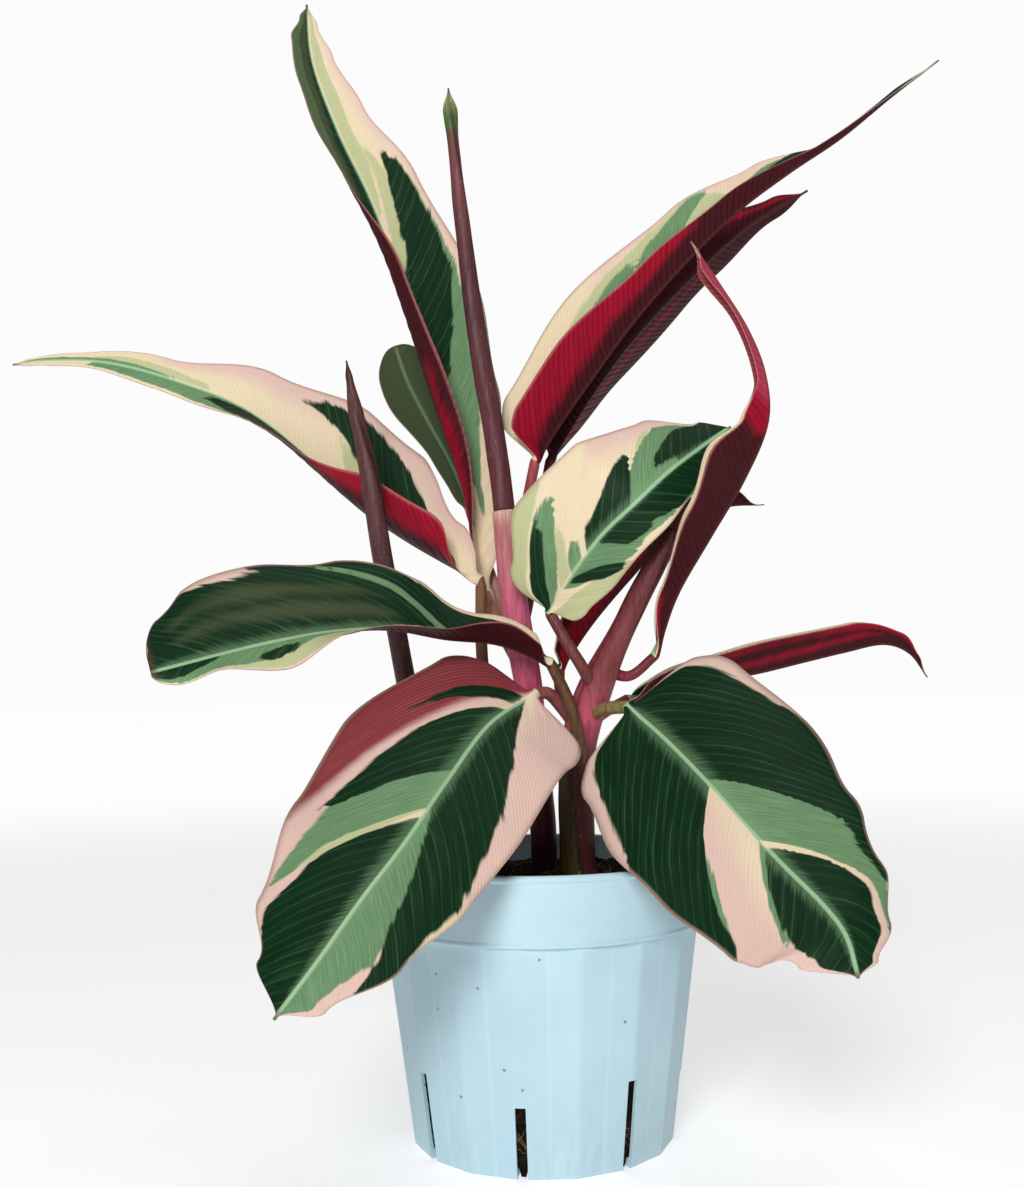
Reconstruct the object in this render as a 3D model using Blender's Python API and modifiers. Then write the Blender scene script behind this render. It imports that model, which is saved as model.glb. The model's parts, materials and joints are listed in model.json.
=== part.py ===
# Potted prayer plant with variegated leaves, in a faceted grow pot.
# Sizes in the tables are millimetres; +X is right, +Y is away from the front, +Z is up.
# The origin is the middle of the pot's foot, where it stands.

import math

import bmesh
import bpy
from mathutils import Vector, noise

MM = 0.001
GAP = 0.3  # air left between pieces that touch
WELD = 0.00001  # metres within which loose points are joined

# Pot, moulded in one piece: a sixteen-sided body under a round band
FACETS = 16
FOOT_RADIUS = 46.7  # to the ridges
SHOULDER_RADIUS = 57.2
SHOULDER_HEIGHT = 77.6
RIM_RADIUS = 60.0
POT_HEIGHT = 100.0
WALL = 1.3
FLOOR_HEIGHT = 3.0
BAND_LIP = 0.7  # how far the band stands out over the body
RIM_ROLL = 2.4  # height of the rolled edge
SLOTS = 8
SLOT_WIDTH = 3.6
SLOT_HEIGHTS = (24.0, 30.0)  # in turn round the pot
SLOT_INNER_RADIUS = 34.0
BODY_INSIDE = (SHOULDER_RADIUS - WALL) * math.cos(math.pi / FACETS)
FACET_TURN = math.radians(1.5)  # the pot stands turned a little off square
BAND_STEPS = 64

# Soil, a plug that fills the pot
SOIL_HEIGHT = 91.0
SOIL_BUMP = 1.5
SOIL_STEPS = 40
SOIL_RINGS = 7
BUMP_SCALE = 110

# Stems and leaf blades
STEM_STATIONS = 16
BLADE = 0.8  # thickness
ACROSS = 3  # strips in each half of a blade
ALONG = 15  # stations from the foot of a blade to its tip
RIB = 1.0  # how far the midrib stands out under the blade
ROOM_WIDTH = 6.0
LEAST_WIDTH = 0.5  # of half a blade, at its tip
NECK = 0.05  # share of the blade over which the round stalk flattens
STALK_STATIONS = 6
BUNCH = 0.85  # how closely the stations gather at a blade's two ends

GREEN = (0.05, 0.16, 0.07)
CREAM = (0.83, 0.70, 0.52)
PINK = (0.75, 0.45, 0.42)
RED = (0.45, 0.02, 0.08)
MAROON = (0.14, 0.02, 0.04)
OLIVE = (0.28, 0.17, 0.07)
ROSE = (0.55, 0.10, 0.20)
PALE_BLUE = (0.52, 0.74, 0.80)
EARTH = (0.035, 0.022, 0.016)

# Shoots: each is a round stem on a smooth curve, with its radius at its two ends
SHOOTS = {
    "stem_main": dict(
        path=[(15, 2, 76), (14, 0, 101), (14, -3, 130), (19, -8, 154), (34, -14, 186), (50, -18, 216)],
        radius=[(0, 7.0), (0.4, 6.5), (0.6, 6.8), (0.8, 4.2), (1, 3.6)],
        colour=MAROON,
    ),
    "stem_pink": dict(
        path=[(2, 10, 76), (2, 9, 100), (0, 7, 130), (-3, 2, 160), (-8, 0, 193), (-11, 0, 226)],
        radius=[(0, 5.0), (0.5, 5.0), (0.7, 5.4), (1, 4.6)],
        colour=ROSE,
    ),
    "spear_tall": dict(
        path=[(-11, 0, 226.3), (-14, 0, 253), (-20, 0, 291), (-25, 2, 334), (-28, 2, 366), (-30, 2, 390)],
        radius=[(0, 4.1), (0.3, 3.9), (0.6, 3.0), (0.82, 2.2), (0.92, 2.8), (1, 0.3)],
        colour=MAROON,
    ),
    "spear_left": dict(
        path=[
            (-36, 8, 76), (-41, 5, 118), (-50, 1, 172), (-56, -3, 208), (-61, -4, 242), (-66, -4, 266), (-69, -4, 283),
        ],
        radius=[(0, 3.0), (0.3, 3.6), (0.6, 3.8), (0.8, 2.8), (0.93, 1.3), (1, 0.3)],
        colour=MAROON,
    ),
}

# Leaves: spine is the midrib from the blade's foot to its tip, stalk leads there from the named shoot.
# face says which way the upper side looks at shares of the length, left and right are half widths,
# fold is how far each half rises from flat in degrees and curl how much further it bends across,
# lobes are how far the blade's back corners reach behind its foot, wave is (height, number of waves),
# and foot and tip are the shares of the length over which the blade rounds off at its two ends.
LEAVES = {
    "leaf_tall": dict(
        colour=GREEN,
        shoot="stem_pink",
        stalk=[(-4, 2, 166), (-9, 8, 175), (-15, 14, 186)],
        stalk_radius=(2.6, 2.4),
        spine=[
            (-19, 17, 197), (-24, 22, 232), (-35, 23, 270), (-48, 24, 314),
            (-62, 30, 355), (-77, 36, 389), (-88, 42, 421), (-91, 46, 448),
        ],
        face=[(0, (0.3, -0.95, 0.1)), (0.7, (0.3, -0.95, 0.1)), (1, (0.5, -0.85, 0.1))],
        left=[(0, 6), (0.15, 12), (0.35, 16), (0.6, 15), (0.8, 12), (0.9, 9), (0.96, 4), (1, 0)],
        right=[(0, 4), (0.15, 12), (0.3, 25), (0.42, 30), (0.6, 22), (0.75, 14), (0.87, 9), (0.95, 4), (1, 0)],
        fold_left=[(0, 30), (0.3, 20), (0.7, 15), (1, 10)],
        fold_right=[(0, 25), (0.4, 5), (1, 5)],
        curl_left=[(0, 40), (0.25, 150), (0.45, 120), (0.6, 60), (0.75, 30), (1, 0)],
        curl_right=[(0, -15), (1, 10)],
        foot=0.06,
    ),
    "leaf_tailed": dict(
        colour=CREAM,
        shoot="stem_pink",
        stalk=[(-8, 0, 192), (-5, 4, 206), (-3, 7, 226)],
        stalk_radius=(2.2, 2.0),
        spine=[
            (1, 9, 246), (10, 10, 260), (24, 13, 280), (41, 17, 303), (61, 21, 326),
            (83, 25, 348), (105, 28, 365), (127, 30, 380), (148, 31, 397), (168, 30, 412),
        ],
        face=[(0, (-0.7, -0.2, 0.68)), (0.8, (-0.7, -0.2, 0.68)), (1, (-0.7, -0.6, 0.5))],
        left=[(0, 14), (0.12, 24), (0.3, 28), (0.5, 21), (0.63, 12), (0.74, 4), (0.9, 2.6), (1, 0)],
        right=[(0, 13), (0.1, 18), (0.22, 19), (0.4, 12), (0.55, 8), (0.74, 3.5), (0.9, 2.6), (1, 0)],
        fold_left=[(0, 65), (0.6, 62), (1, 40)],
        fold_right=[(0, 80), (0.5, 85), (1, 50)],
        curl_left=[(0, 0), (1, 0)],
        curl_right=[(0, 0), (1, 0)],
        foot=0.06,
        lobes=(2, 2),
    ),
    "leaf_dark": dict(
        colour=MAROON,
        shoot="stem_pink",
        stalk=[(-6, 1, 180), (-2, 9, 195), (2, 15, 220)],
        stalk_radius=(2.2, 1.9),
        spine=[(7, 22, 248), (22, 32, 273), (41, 42, 300), (66, 52, 328), (93, 61, 354), (122, 68, 373)],
        face=[(0, (-0.3, 0.8, 0.4)), (1, (-0.3, 0.8, 0.4))],
        left=[(0, 5), (0.2, 15), (0.45, 18), (0.7, 13), (0.9, 5), (1, 0)],
        right=[(0, 6), (0.2, 17), (0.45, 19), (0.7, 14), (0.9, 5), (1, 0)],
        fold_left=[(0, 45), (0.6, 30), (1, 15)],
        fold_right=[(0, 45), (0.6, 30), (1, 15)],
        curl_left=[(0, 10)],
        curl_right=[(0, 10)],
        foot=0.08,
    ),
    "leaf_long": dict(
        colour=CREAM,
        shoot=None,
        stalk=[(-15, 14, 76), (-15, 13, 101), (-17, 8, 134), (-20, 3, 172)],
        stalk_radius=(2.6, 2.1),
        spine=[
            (-20, 1, 200), (-36, 8, 209), (-53, 16, 220), (-70, 21, 233), (-90, 26, 254),
            (-114, 30, 273), (-141, 34, 285), (-170, 38, 294), (-195, 40, 296), (-211, 41, 295),
        ],
        face=[(0, (-0.2, -0.85, 0.5)), (1, (-0.2, -0.85, 0.5))],
        left=[(0, 6), (0.15, 19), (0.3, 20), (0.5, 11), (0.7, 7), (0.85, 3), (0.95, 2), (1, 0)],
        right=[(0, 5), (0.12, 17), (0.3, 33), (0.42, 31), (0.55, 20), (0.7, 9), (0.85, 4), (0.95, 2), (1, 0)],
        fold_left=[(0, 40), (0.12, 75), (0.3, 70), (0.45, 45), (0.65, 5), (1, 0)],
        fold_right=[(0, 10), (0.5, 5), (1, 10)],
        curl_left=[(0, 20), (0.12, 80), (0.3, 80), (0.5, 40), (0.65, 0)],
        curl_right=[(0, -10)],
        foot=0.06,
    ),
    "leaf_back": dict(
        colour=GREEN,
        shoot="stem_pink",
        stalk=[(-3, 2, 157), (-6, 12, 170), (-12, 21, 190), (-19, 27, 212)],
        stalk_radius=(2.2, 1.8),
        spine=[(-25, 28, 231), (-32, 38, 250), (-42, 48, 270), (-51, 58, 289), (-57, 66, 307)],
        face=[(0, (-0.1, -0.95, 0.3)), (1, (-0.1, -0.95, 0.3))],
        left=[(0, 4), (0.3, 7), (0.65, 12), (1, 10)],
        right=[(0, 6), (0.3, 13), (0.65, 17), (1, 12)],
        fold_left=[(0, 30), (1, 10)],
        fold_right=[(0, 30), (1, 10)],
        curl_left=[(0, -10)],
        curl_right=[(0, -10)],
        foot=0.1,
        tip=0.22,
    ),
    "leaf_left": dict(
        colour=GREEN,
        shoot="stem_main",
        stalk=[(14, -3, 128), (15, -11, 138), (12, -15, 153)],
        stalk_radius=(2.4, 2.0),
        spine=[
            (5, -14, 169), (-13, -20, 176), (-32, -28, 178), (-50, -38, 181), (-68, -48, 180),
            (-85, -56, 177), (-101, -63, 173), (-112, -67, 170), (-123, -71, 167),
        ],
        face=[(0, (-0.1, -0.6, 0.8)), (0.4, (-0.1, -0.8, 0.58)), (1, (-0.2, -0.8, 0.55))],
        left=[(0, 6), (0.15, 11), (0.4, 12), (0.6, 14), (0.8, 8), (1, 7)],
        right=[(0, 7), (0.15, 14), (0.3, 24), (0.45, 33), (0.6, 37), (0.8, 36), (0.92, 28), (1, 25)],
        fold_left=[(0, 75), (0.3, 65), (0.5, 35), (0.65, 10), (1, 0)],
        fold_right=[(0, 20), (0.5, 8), (1, 0)],
        curl_left=[(0, 0), (0.5, 0), (1, -20)],
        curl_right=[(0, -10), (1, -15)],
        foot=0.05,
        tip=0.12,
        wave=(1.4, 3),
    ),
    "leaf_middle": dict(
        colour=CREAM,
        shoot="stem_main",
        stalk=[(21, -9, 158), (17, -15, 166), (11, -16, 176)],
        stalk_radius=(2.2, 2.0),
        spine=[
            (5, -14, 187), (12, -21, 199), (23, -28, 213), (35, -32, 224),
            (48, -28, 236), (61, -21, 246), (72, -14, 254),
        ],
        face=[(0, (-0.1, -0.95, 0.1)), (0.5, (-0.2, -0.95, 0.2)), (1, (0, -0.8, 0.6))],
        left=[(0, 11), (0.1, 20), (0.25, 31), (0.5, 31), (0.75, 23), (0.92, 10), (1, 0)],
        right=[(0, 8), (0.1, 12), (0.25, 15), (0.5, 14), (0.75, 11), (0.92, 6), (1, 0)],
        fold_left=[(0, 15), (1, 5)],
        fold_right=[(0, 10), (0.3, -20), (1, -30)],
        curl_left=[(0, -15)],
        curl_right=[(0, 0)],
        foot=0.07,
        lobes=(3, 2),
    ),
    "leaf_furled": dict(
        colour=MAROON,
        shoot="stem_main",
        stalk=[(25, -10, 166), (34, -8, 164)],
        stalk_radius=(2.0, 1.7),
        spine=[
            (43, -9, 171), (50, -15, 192), (61, -26, 212), (72, -35, 231), (80, -39, 250),
            (80, -38, 267), (75, -35, 284), (66, -31, 302), (57, -28, 318),
        ],
        face=[
            (0, (-0.85, -0.2, 0.45)), (0.5, (-0.85, -0.1, 0.3)), (0.7, (-0.8, -0.1, -0.5)), (1, (-0.7, -0.2, -0.6)),
        ],
        left=[(0, 2), (0.13, 6), (0.28, 12), (0.4, 16), (0.5, 9), (0.62, 4), (0.8, 3.2), (0.91, 4.5), (1, 0)],
        right=[(0, 2), (0.13, 6), (0.28, 12), (0.4, 16), (0.5, 9), (0.62, 4), (0.8, 3.2), (0.91, 4.5), (1, 0)],
        fold_left=[(0, 65), (0.5, 65), (0.7, 60), (1, 55)],
        fold_right=[(0, 65), (0.5, 65), (0.7, 60), (1, 55)],
        curl_left=[(0, 20)],
        curl_right=[(0, 20)],
        foot=0.04,
    ),
    "leaf_under": dict(
        colour=RED,
        shoot="stem_main",
        stalk=[(15, -4, 138), (12, 3, 150), (9, 7, 159)],
        stalk_radius=(2.2, 2.0),
        spine=[(9, 9, 167), (21, 11, 184), (36, 14, 201), (54, 18, 219), (74, 20, 229), (90, 20, 230)],
        face=[(0, (-0.6, -0.1, 0.75)), (1, (-0.3, -0.1, 0.9))],
        left=[(0, 5), (0.2, 11), (0.5, 12), (0.8, 8), (1, 0)],
        right=[(0, 5), (0.2, 11), (0.5, 12), (0.8, 8), (1, 0)],
        fold_left=[(0, 75), (1, 60)],
        fold_right=[(0, 75), (1, 60)],
        curl_left=[(0, 10)],
        curl_right=[(0, 10)],
        foot=0.06,
    ),
    "leaf_right": dict(
        colour=RED,
        shoot="stem_main",
        stalk=[(17, -6, 145), (24, 0, 150)],
        stalk_radius=(2.2, 2.0),
        spine=[
            (34, 10, 155), (49, 20, 158), (69, 30, 162), (89, 38, 165), (108, 44, 169),
            (127, 50, 173), (144, 53, 176), (155, 54, 172), (162, 54, 162),
        ],
        face=[(0, (0, -0.1, 1)), (0.8, (0, -0.1, 1)), (1, (0.6, -0.1, 0.8))],
        left=[(0, 3), (0.2, 9), (0.4, 12), (0.65, 11), (0.8, 6), (0.9, 3), (1, 0.5)],
        right=[(0, 3), (0.2, 9), (0.4, 12), (0.65, 11), (0.8, 6), (0.9, 3), (1, 0.5)],
        fold_left=[(0, 70), (0.7, 70), (1, 50)],
        fold_right=[(0, 70), (0.7, 70), (1, 50)],
        curl_left=[(0, 15)],
        curl_right=[(0, 15)],
        foot=0.08,
    ),
    "leaf_front_right": dict(
        colour=GREEN,
        shoot="stem_main",
        stalk=[(17, -6, 147), (23, -14, 152)],
        stalk_radius=(2.6, 2.3),
        spine=[
            (32, -22, 153), (43, -37, 142), (54, -55, 129), (63, -71, 117),
            (72, -84, 106), (81, -95, 96), (86, -102, 88), (88, -107, 77),
        ],
        face=[(0, (-0.3, -0.85, 0.4)), (0.5, (-0.15, -0.85, 0.45)), (1, (0.1, -0.85, 0.4))],
        left=[(0, 30), (0.12, 38), (0.3, 41), (0.5, 35), (0.7, 25), (0.85, 16), (0.95, 8), (1, 1)],
        right=[(0, 24), (0.12, 34), (0.28, 39), (0.45, 36), (0.65, 31), (0.82, 26), (0.94, 16), (1, 1)],
        fold_left=[(0, 5), (0.5, 0), (1, 0)],
        fold_right=[(0, 5), (0.5, 0), (1, 0)],
        curl_left=[(0, -25)],
        curl_right=[(0, -15)],
        foot=0.09,
        tip=0.05,
        lobes=(8, 4),
    ),
    "leaf_front_left": dict(
        colour=GREEN,
        shoot="stem_main",
        stalk=[(16, -5, 144), (9, -10, 153), (4, -15, 158)],
        stalk_radius=(2.4, 2.2),
        spine=[
            (-1, -20, 158), (-17, -38, 148), (-31, -58, 130), (-43, -75, 113),
            (-55, -90, 98), (-66, -102, 83), (-77, -111, 69),
        ],
        face=[(0, (0.1, -0.85, 0.5)), (0.5, (0, -0.85, 0.5)), (1, (-0.2, -0.85, 0.45))],
        left=[(0, 26), (0.12, 31), (0.35, 31), (0.55, 28), (0.75, 22), (0.92, 11), (1, 0)],
        right=[(0, 18), (0.12, 31), (0.3, 43), (0.5, 41), (0.75, 31), (0.9, 18), (1, 0)],
        fold_left=[(0, 10), (0.5, 0), (1, 0)],
        fold_right=[(0, 10), (0.5, 0), (1, -5)],
        curl_left=[(0, -15)],
        curl_right=[(0, -20)],
        foot=0.08,
        tip=0.04,
        lobes=(4, 4),
    ),
}


def smooth(t):
    t = min(max(t, 0.0), 1.0)
    return t * t * (3 - 2 * t)


def mix(a, b, t):
    return a + (b - a) * t


def between(stops, share):
    """Value at a share of the length, read smoothly from (share, value) stops."""
    if share <= stops[0][0]:
        return stops[0][1]
    for (a, low), (b, high) in zip(stops, stops[1:]):
        if share <= b:
            return mix(low, high, smooth((share - a) / (b - a)))
    return stops[-1][1]


def curve_point(points, share):
    """Point at a share of the smooth curve that runs through the points."""
    count = len(points) - 1
    place = min(max(share, 0.0), 1.0) * count
    i = min(int(place), count - 1)
    t = place - i
    b, c = Vector(points[i]), Vector(points[i + 1])
    a = Vector(points[i - 1]) if i else 2 * b - c
    d = Vector(points[i + 2]) if i + 2 <= count else 2 * c - b
    return 0.5 * (2 * b + (c - a) * t + (2 * a - 5 * b + 4 * c - d) * t**2 + (3 * (b - c) + d - a) * t**3)


def curve_direction(points, share, step=0.004):
    low, high = max(share - step, 0.0), min(share + step, 1.0)
    return (curve_point(points, high) - curve_point(points, low)).normalized()


def round_end(share, length):
    """Rises from 0 to 1 like a quarter circle over a length."""
    t = min(max(share / length, 0.0), 1.0)
    return math.sqrt(1 - (1 - t) ** 2)


def face_at(leaf, share):
    return Vector([between([(s, way[k]) for s, way in leaf["face"]], share) for k in range(3)])


def blade_frame(leaf, share):
    """Midrib point, and the ways along it, across it to the right and up from the upper side."""
    point = curve_point(leaf["spine"], share)
    along = curve_direction(leaf["spine"], share)
    face = face_at(leaf, share)
    up = (face - along * face.dot(along)).normalized()
    return point, along, along.cross(up), up


def half_width(leaf, side, share):
    stops = leaf["right" if side > 0 else "left"]
    width = between(stops, share) * round_end(share, leaf["foot"])
    if "tip" in leaf:
        width *= round_end(1 - share, leaf["tip"])
    return max(width, LEAST_WIDTH)


def blade_point(leaf, share, across):
    """Point and upward direction on the blade, with across from -1 at the left edge to 1 at the right."""
    point, along, right, up = blade_frame(leaf, share)
    side = 1 if across > 0 else -1
    out = abs(across)
    name = "right" if side > 0 else "left"
    width = half_width(leaf, side, share)
    # A narrow blade lies flatter, so that its two halves have room between them
    room = smooth(width / ROOM_WIDTH)
    bend = math.radians(between(leaf["curl_" + name], share)) * out * room
    fold = math.radians(between(leaf["fold_" + name], share)) * room
    point = point + width * out * (math.cos(fold + bend / 2) * side * right + math.sin(fold + bend / 2) * up)
    point = point - along * leaf.get("lobes", (0, 0))[side > 0] * out**2 * (1 - share) ** 6
    tilt = (fold + bend) * min(1.0, out * ACROSS)
    normal = math.cos(tilt) * up - side * math.sin(tilt) * right
    if out == 0:
        # Over the midrib, the thickness runs along the fold's middle
        normal = up
    height, count = leaf.get("wave", (0, 1))
    point = point + normal * height * math.sin(2 * math.pi * count * share + across) * out**2
    return point, normal


def blade_ring(leaf, share):
    """Points round the blade at a share of its length: the upper side left to right, then back below."""
    places = [i / ACROSS for i in range(-ACROSS, ACROSS + 1)]
    upper, lower = [], []
    rib = RIB * (1 - 0.7 * share)
    for across in places:
        point, normal = blade_point(leaf, share, across)
        upper.append(point + normal * BLADE / 2)
        lower.append(point - normal * (BLADE / 2 + (rib if across == 0 else 0)))
    return upper + lower[::-1]


def round_ring(centre, right, up, radius, count):
    half = count // 2
    ring = []
    for i in range(half):
        turn = math.pi * (1 - (i + 0.5) / half)
        ring.append(centre + radius * (math.cos(turn) * right + math.sin(turn) * up))
    return ring + [2 * centre - p for p in ring]


def loft(name, rings, colour, collection):
    """Closed solid through rings of equal count, with a fan of faces over each end."""
    shape = bmesh.new()
    rows = [[shape.verts.new(p * MM) for p in ring] for ring in rings]
    count = len(rows[0])
    for low, high in zip(rows, rows[1:]):
        for i in range(count):
            j = (i + 1) % count
            # The same diagonal is used above and below, so that the two faces of a wave can't cross
            if i < count // 2:
                shape.faces.new((low[i], low[j], high[j]))
                shape.faces.new((low[i], high[j], high[i]))
            else:
                shape.faces.new((low[i], low[j], high[i]))
                shape.faces.new((low[j], high[j], high[i]))
    for row in (rows[0], rows[-1]):
        half = count // 2
        for i in range(half - 1):
            j = count - 1 - i
            corners = (row[i], row[i + 1], row[j - 1], row[j])
            shape.faces.new(corners if row is rows[-1] else corners[::-1])
    if shape.calc_volume(signed=True) < 0:
        bmesh.ops.reverse_faces(shape, faces=shape.faces[:])
    return finish(name, shape, colour, collection)


def finish(name, shape, colour, collection, roughness=0.5):
    mesh = bpy.data.meshes.new(name)
    shape.to_mesh(mesh)
    shape.free()
    obj = bpy.data.objects.new(name, mesh)
    collection.objects.link(obj)
    mesh.materials.append(material(name, colour, roughness))
    return obj


def material(name, colour, roughness):
    made = bpy.data.materials.new(name)
    made.use_nodes = True
    shader = made.node_tree.nodes["Principled BSDF"]
    shader.inputs["Base Color"].default_value = (*colour, 1)
    shader.inputs["Roughness"].default_value = roughness
    shader.inputs["Metallic"].default_value = 0.0
    return made


def leaf_solid(name, leaf, collection):
    """Stalk and blade in one solid, from the middle of its shoot to the tip."""
    count = 2 * (2 * ACROSS + 1)
    foot, along, right, up = blade_frame(leaf, 0.0)
    stalk = leaf["stalk"] + [tuple(foot)]
    rings = []
    for i in range(STALK_STATIONS, -1, -1):
        share = i / (STALK_STATIONS + 0.5)
        way = curve_direction(stalk, share)
        # The stalk's frame is carried back from the blade's, so that it doesn't twist
        turn = along.rotation_difference(way)
        right, up, along = turn @ right, turn @ up, way
        radius = mix(*leaf["stalk_radius"], share)
        rings.append(round_ring(curve_point(stalk, share), right, up, radius, count))
    rings.reverse()
    for i in range(ALONG + 1):
        t = i / ALONG
        share = t - math.sin(2 * math.pi * t) / (2 * math.pi) * BUNCH
        flat = smooth(share / NECK)
        point, _, right, up = blade_frame(leaf, share)
        stem = round_ring(point, right, up, leaf["stalk_radius"][1], count)
        rings.append([mix(a, b, flat) for a, b in zip(stem, blade_ring(leaf, share))])
    return loft(name, rings, leaf["colour"], collection)


def stem(name, path, radius, colour, collection, grow=0.0):
    """Round stem along a path; grow makes the larger copy that carves what stands against it."""
    curve = bpy.data.curves.new(name, "CURVE")
    curve.dimensions = "3D"
    curve.bevel_depth = MM
    curve.bevel_resolution = 4
    curve.use_fill_caps = True
    curve.materials.append(material(name, colour, 0.45))
    spline = curve.splines.new("POLY")
    spline.points.add(STEM_STATIONS)
    for i, point in enumerate(spline.points):
        share = i / STEM_STATIONS
        beyond = grow * ((i == STEM_STATIONS) - (i == 0))
        centre = curve_point(path, share) + curve_direction(path, share) * beyond
        point.co = (*(centre * MM), 1)
        point.radius = between(radius, share) + grow
    obj = bpy.data.objects.new(name, curve)
    collection.objects.link(obj)
    return obj


def stem_space(name, path, radius, cutters):
    """Closed mesh of the space that a stem needs, with air all round it."""
    tube = stem(name + "_space", path, radius, EARTH, cutters, grow=GAP)
    mesh = bpy.data.meshes.new_from_object(tube.evaluated_get(bpy.context.evaluated_depsgraph_get()))
    bpy.data.objects.remove(tube)
    shape = bmesh.new()
    shape.from_mesh(mesh)
    bmesh.ops.remove_doubles(shape, verts=shape.verts[:], dist=WELD)
    return finish(name + "_space", shape, EARTH, cutters)


def turned(profile, steps, name, colour, collection):
    """Solid turned about +Z from (radius, height) points, which run down its outer side."""
    shape = bmesh.new()
    points = [shape.verts.new((r * MM, 0, z * MM)) for r, z in profile]
    for pair in zip(points, points[1:]):
        shape.edges.new(pair)
    if profile[0][0] > 0:
        shape.edges.new((points[-1], points[0]))
    obj = finish(name, shape, colour, collection)
    screw = obj.modifiers.new("turn", "SCREW")
    screw.steps = screw.render_steps = steps
    screw.use_merge_vertices = True
    screw.merge_threshold = WELD
    return obj


def boolean(target, other, operation):
    step = target.modifiers.new(other.name, "BOOLEAN")
    step.operation = operation
    step.object = other


def wall_radius(height):
    """Outer radius of the body's ridges at a height."""
    return mix(FOOT_RADIUS, SHOULDER_RADIUS, height / SHOULDER_HEIGHT)


def pot_body(collection):
    top = SHOULDER_HEIGHT + 1.0
    return turned(
        [
            (0, FLOOR_HEIGHT),
            (wall_radius(FLOOR_HEIGHT) - WALL, FLOOR_HEIGHT),
            (SHOULDER_RADIUS - WALL, top),
            (SHOULDER_RADIUS, top),
            (SHOULDER_RADIUS, SHOULDER_HEIGHT),
            (FOOT_RADIUS, 0),
            (FOOT_RADIUS - WALL, 0),
            (0, 0),
        ],
        FACETS,
        "pot",
        PALE_BLUE,
        collection,
    )


def pot_band(cutters):
    low = SHOULDER_RADIUS + BAND_LIP
    roll = POT_HEIGHT - RIM_ROLL
    return turned(
        [
            (BODY_INSIDE - 0.6, SHOULDER_HEIGHT + 1.6),
            (low - 0.2 - WALL, SHOULDER_HEIGHT + 3.0),
            (RIM_RADIUS - 0.7 - WALL, roll),
            (RIM_RADIUS - 1.5, POT_HEIGHT),
            (RIM_RADIUS - 0.8, POT_HEIGHT),
            (RIM_RADIUS, POT_HEIGHT - 0.8),
            (RIM_RADIUS, roll + 0.5),
            (RIM_RADIUS - 0.7, roll),
            (low, SHOULDER_HEIGHT + 0.6),
            (low, SHOULDER_HEIGHT - 0.6),
            (low - 0.5, SHOULDER_HEIGHT - 1.2),
            (BODY_INSIDE - 0.6, SHOULDER_HEIGHT - 1.2),
        ],
        BAND_STEPS,
        "pot_band",
        PALE_BLUE,
        cutters,
    )


def make_pot(collection, cutters):
    body = pot_body(collection)
    body.rotation_euler.z = math.pi / FACETS + FACET_TURN
    boolean(body, pot_band(cutters), "UNION")
    depth = SHOULDER_RADIUS + 5.0 - SLOT_INNER_RADIUS
    middle = SLOT_INNER_RADIUS + depth / 2
    for i in range(SLOTS):
        turn = FACET_TURN + (i - 0.25) * 2 * math.pi / SLOTS
        high = SLOT_HEIGHTS[i % len(SLOT_HEIGHTS)]
        shape = bmesh.new()
        bmesh.ops.create_cube(shape, size=MM)
        bmesh.ops.scale(shape, vec=(SLOT_WIDTH, depth, high + 2.0), verts=shape.verts)
        slot = finish(f"slot_{i}", shape, PALE_BLUE, cutters)
        slot.location = Vector((middle * math.sin(turn), -middle * math.cos(turn), high / 2 - 1.0)) * MM
        slot.rotation_euler.z = turn
        boolean(body, slot, "DIFFERENCE")


def soil_plug(collection):
    low = (wall_radius(FLOOR_HEIGHT + GAP) - WALL) * math.cos(math.pi / FACETS) - GAP
    high = BODY_INSIDE - 0.6 - GAP
    edge = SHOULDER_RADIUS + BAND_LIP - 0.2 - WALL - GAP
    top = [(edge * i / SOIL_RINGS, SOIL_HEIGHT) for i in range(SOIL_RINGS)]
    return turned(
        [
            *top,
            (edge, SOIL_HEIGHT - 2.0),
            (edge - 0.2, SHOULDER_HEIGHT + 4.4),
            (high, SHOULDER_HEIGHT + 2.2),
            (high - 0.3, SHOULDER_HEIGHT - 2.0),
            (low, FLOOR_HEIGHT + GAP),
            (0, FLOOR_HEIGHT + GAP),
        ],
        SOIL_STEPS,
        "soil",
        EARTH,
        collection,
    )


def make_soil(collection, cutters):
    soil = soil_plug(collection)
    mesh = bpy.data.meshes.new_from_object(soil.evaluated_get(bpy.context.evaluated_depsgraph_get()))
    soil.modifiers.clear()
    soil.data = mesh
    for vertex in mesh.vertices:
        if vertex.co.z > (SOIL_HEIGHT - 1) * MM:
            vertex.co.z += SOIL_BUMP * MM * noise.noise(vertex.co * BUMP_SCALE)
    for name, shoot in SHOOTS.items():
        if shoot["path"][0][2] < SOIL_HEIGHT:
            boolean(soil, cutters.objects[name + "_space"], "DIFFERENCE")
    for name, leaf in LEAVES.items():
        if not leaf["shoot"]:
            path = leaf["stalk"] + [leaf["spine"][0]]
            widest = max(leaf["stalk_radius"])
            boolean(soil, stem_space(name, path, [(0, widest), (1, widest)], cutters), "DIFFERENCE")


def clear_scene():
    for obj in list(bpy.data.objects):
        bpy.data.objects.remove(obj)


def make_collection(name, shown):
    made = bpy.data.collections.new(name)
    bpy.context.scene.collection.children.link(made)
    made.hide_render = not shown
    return made


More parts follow.
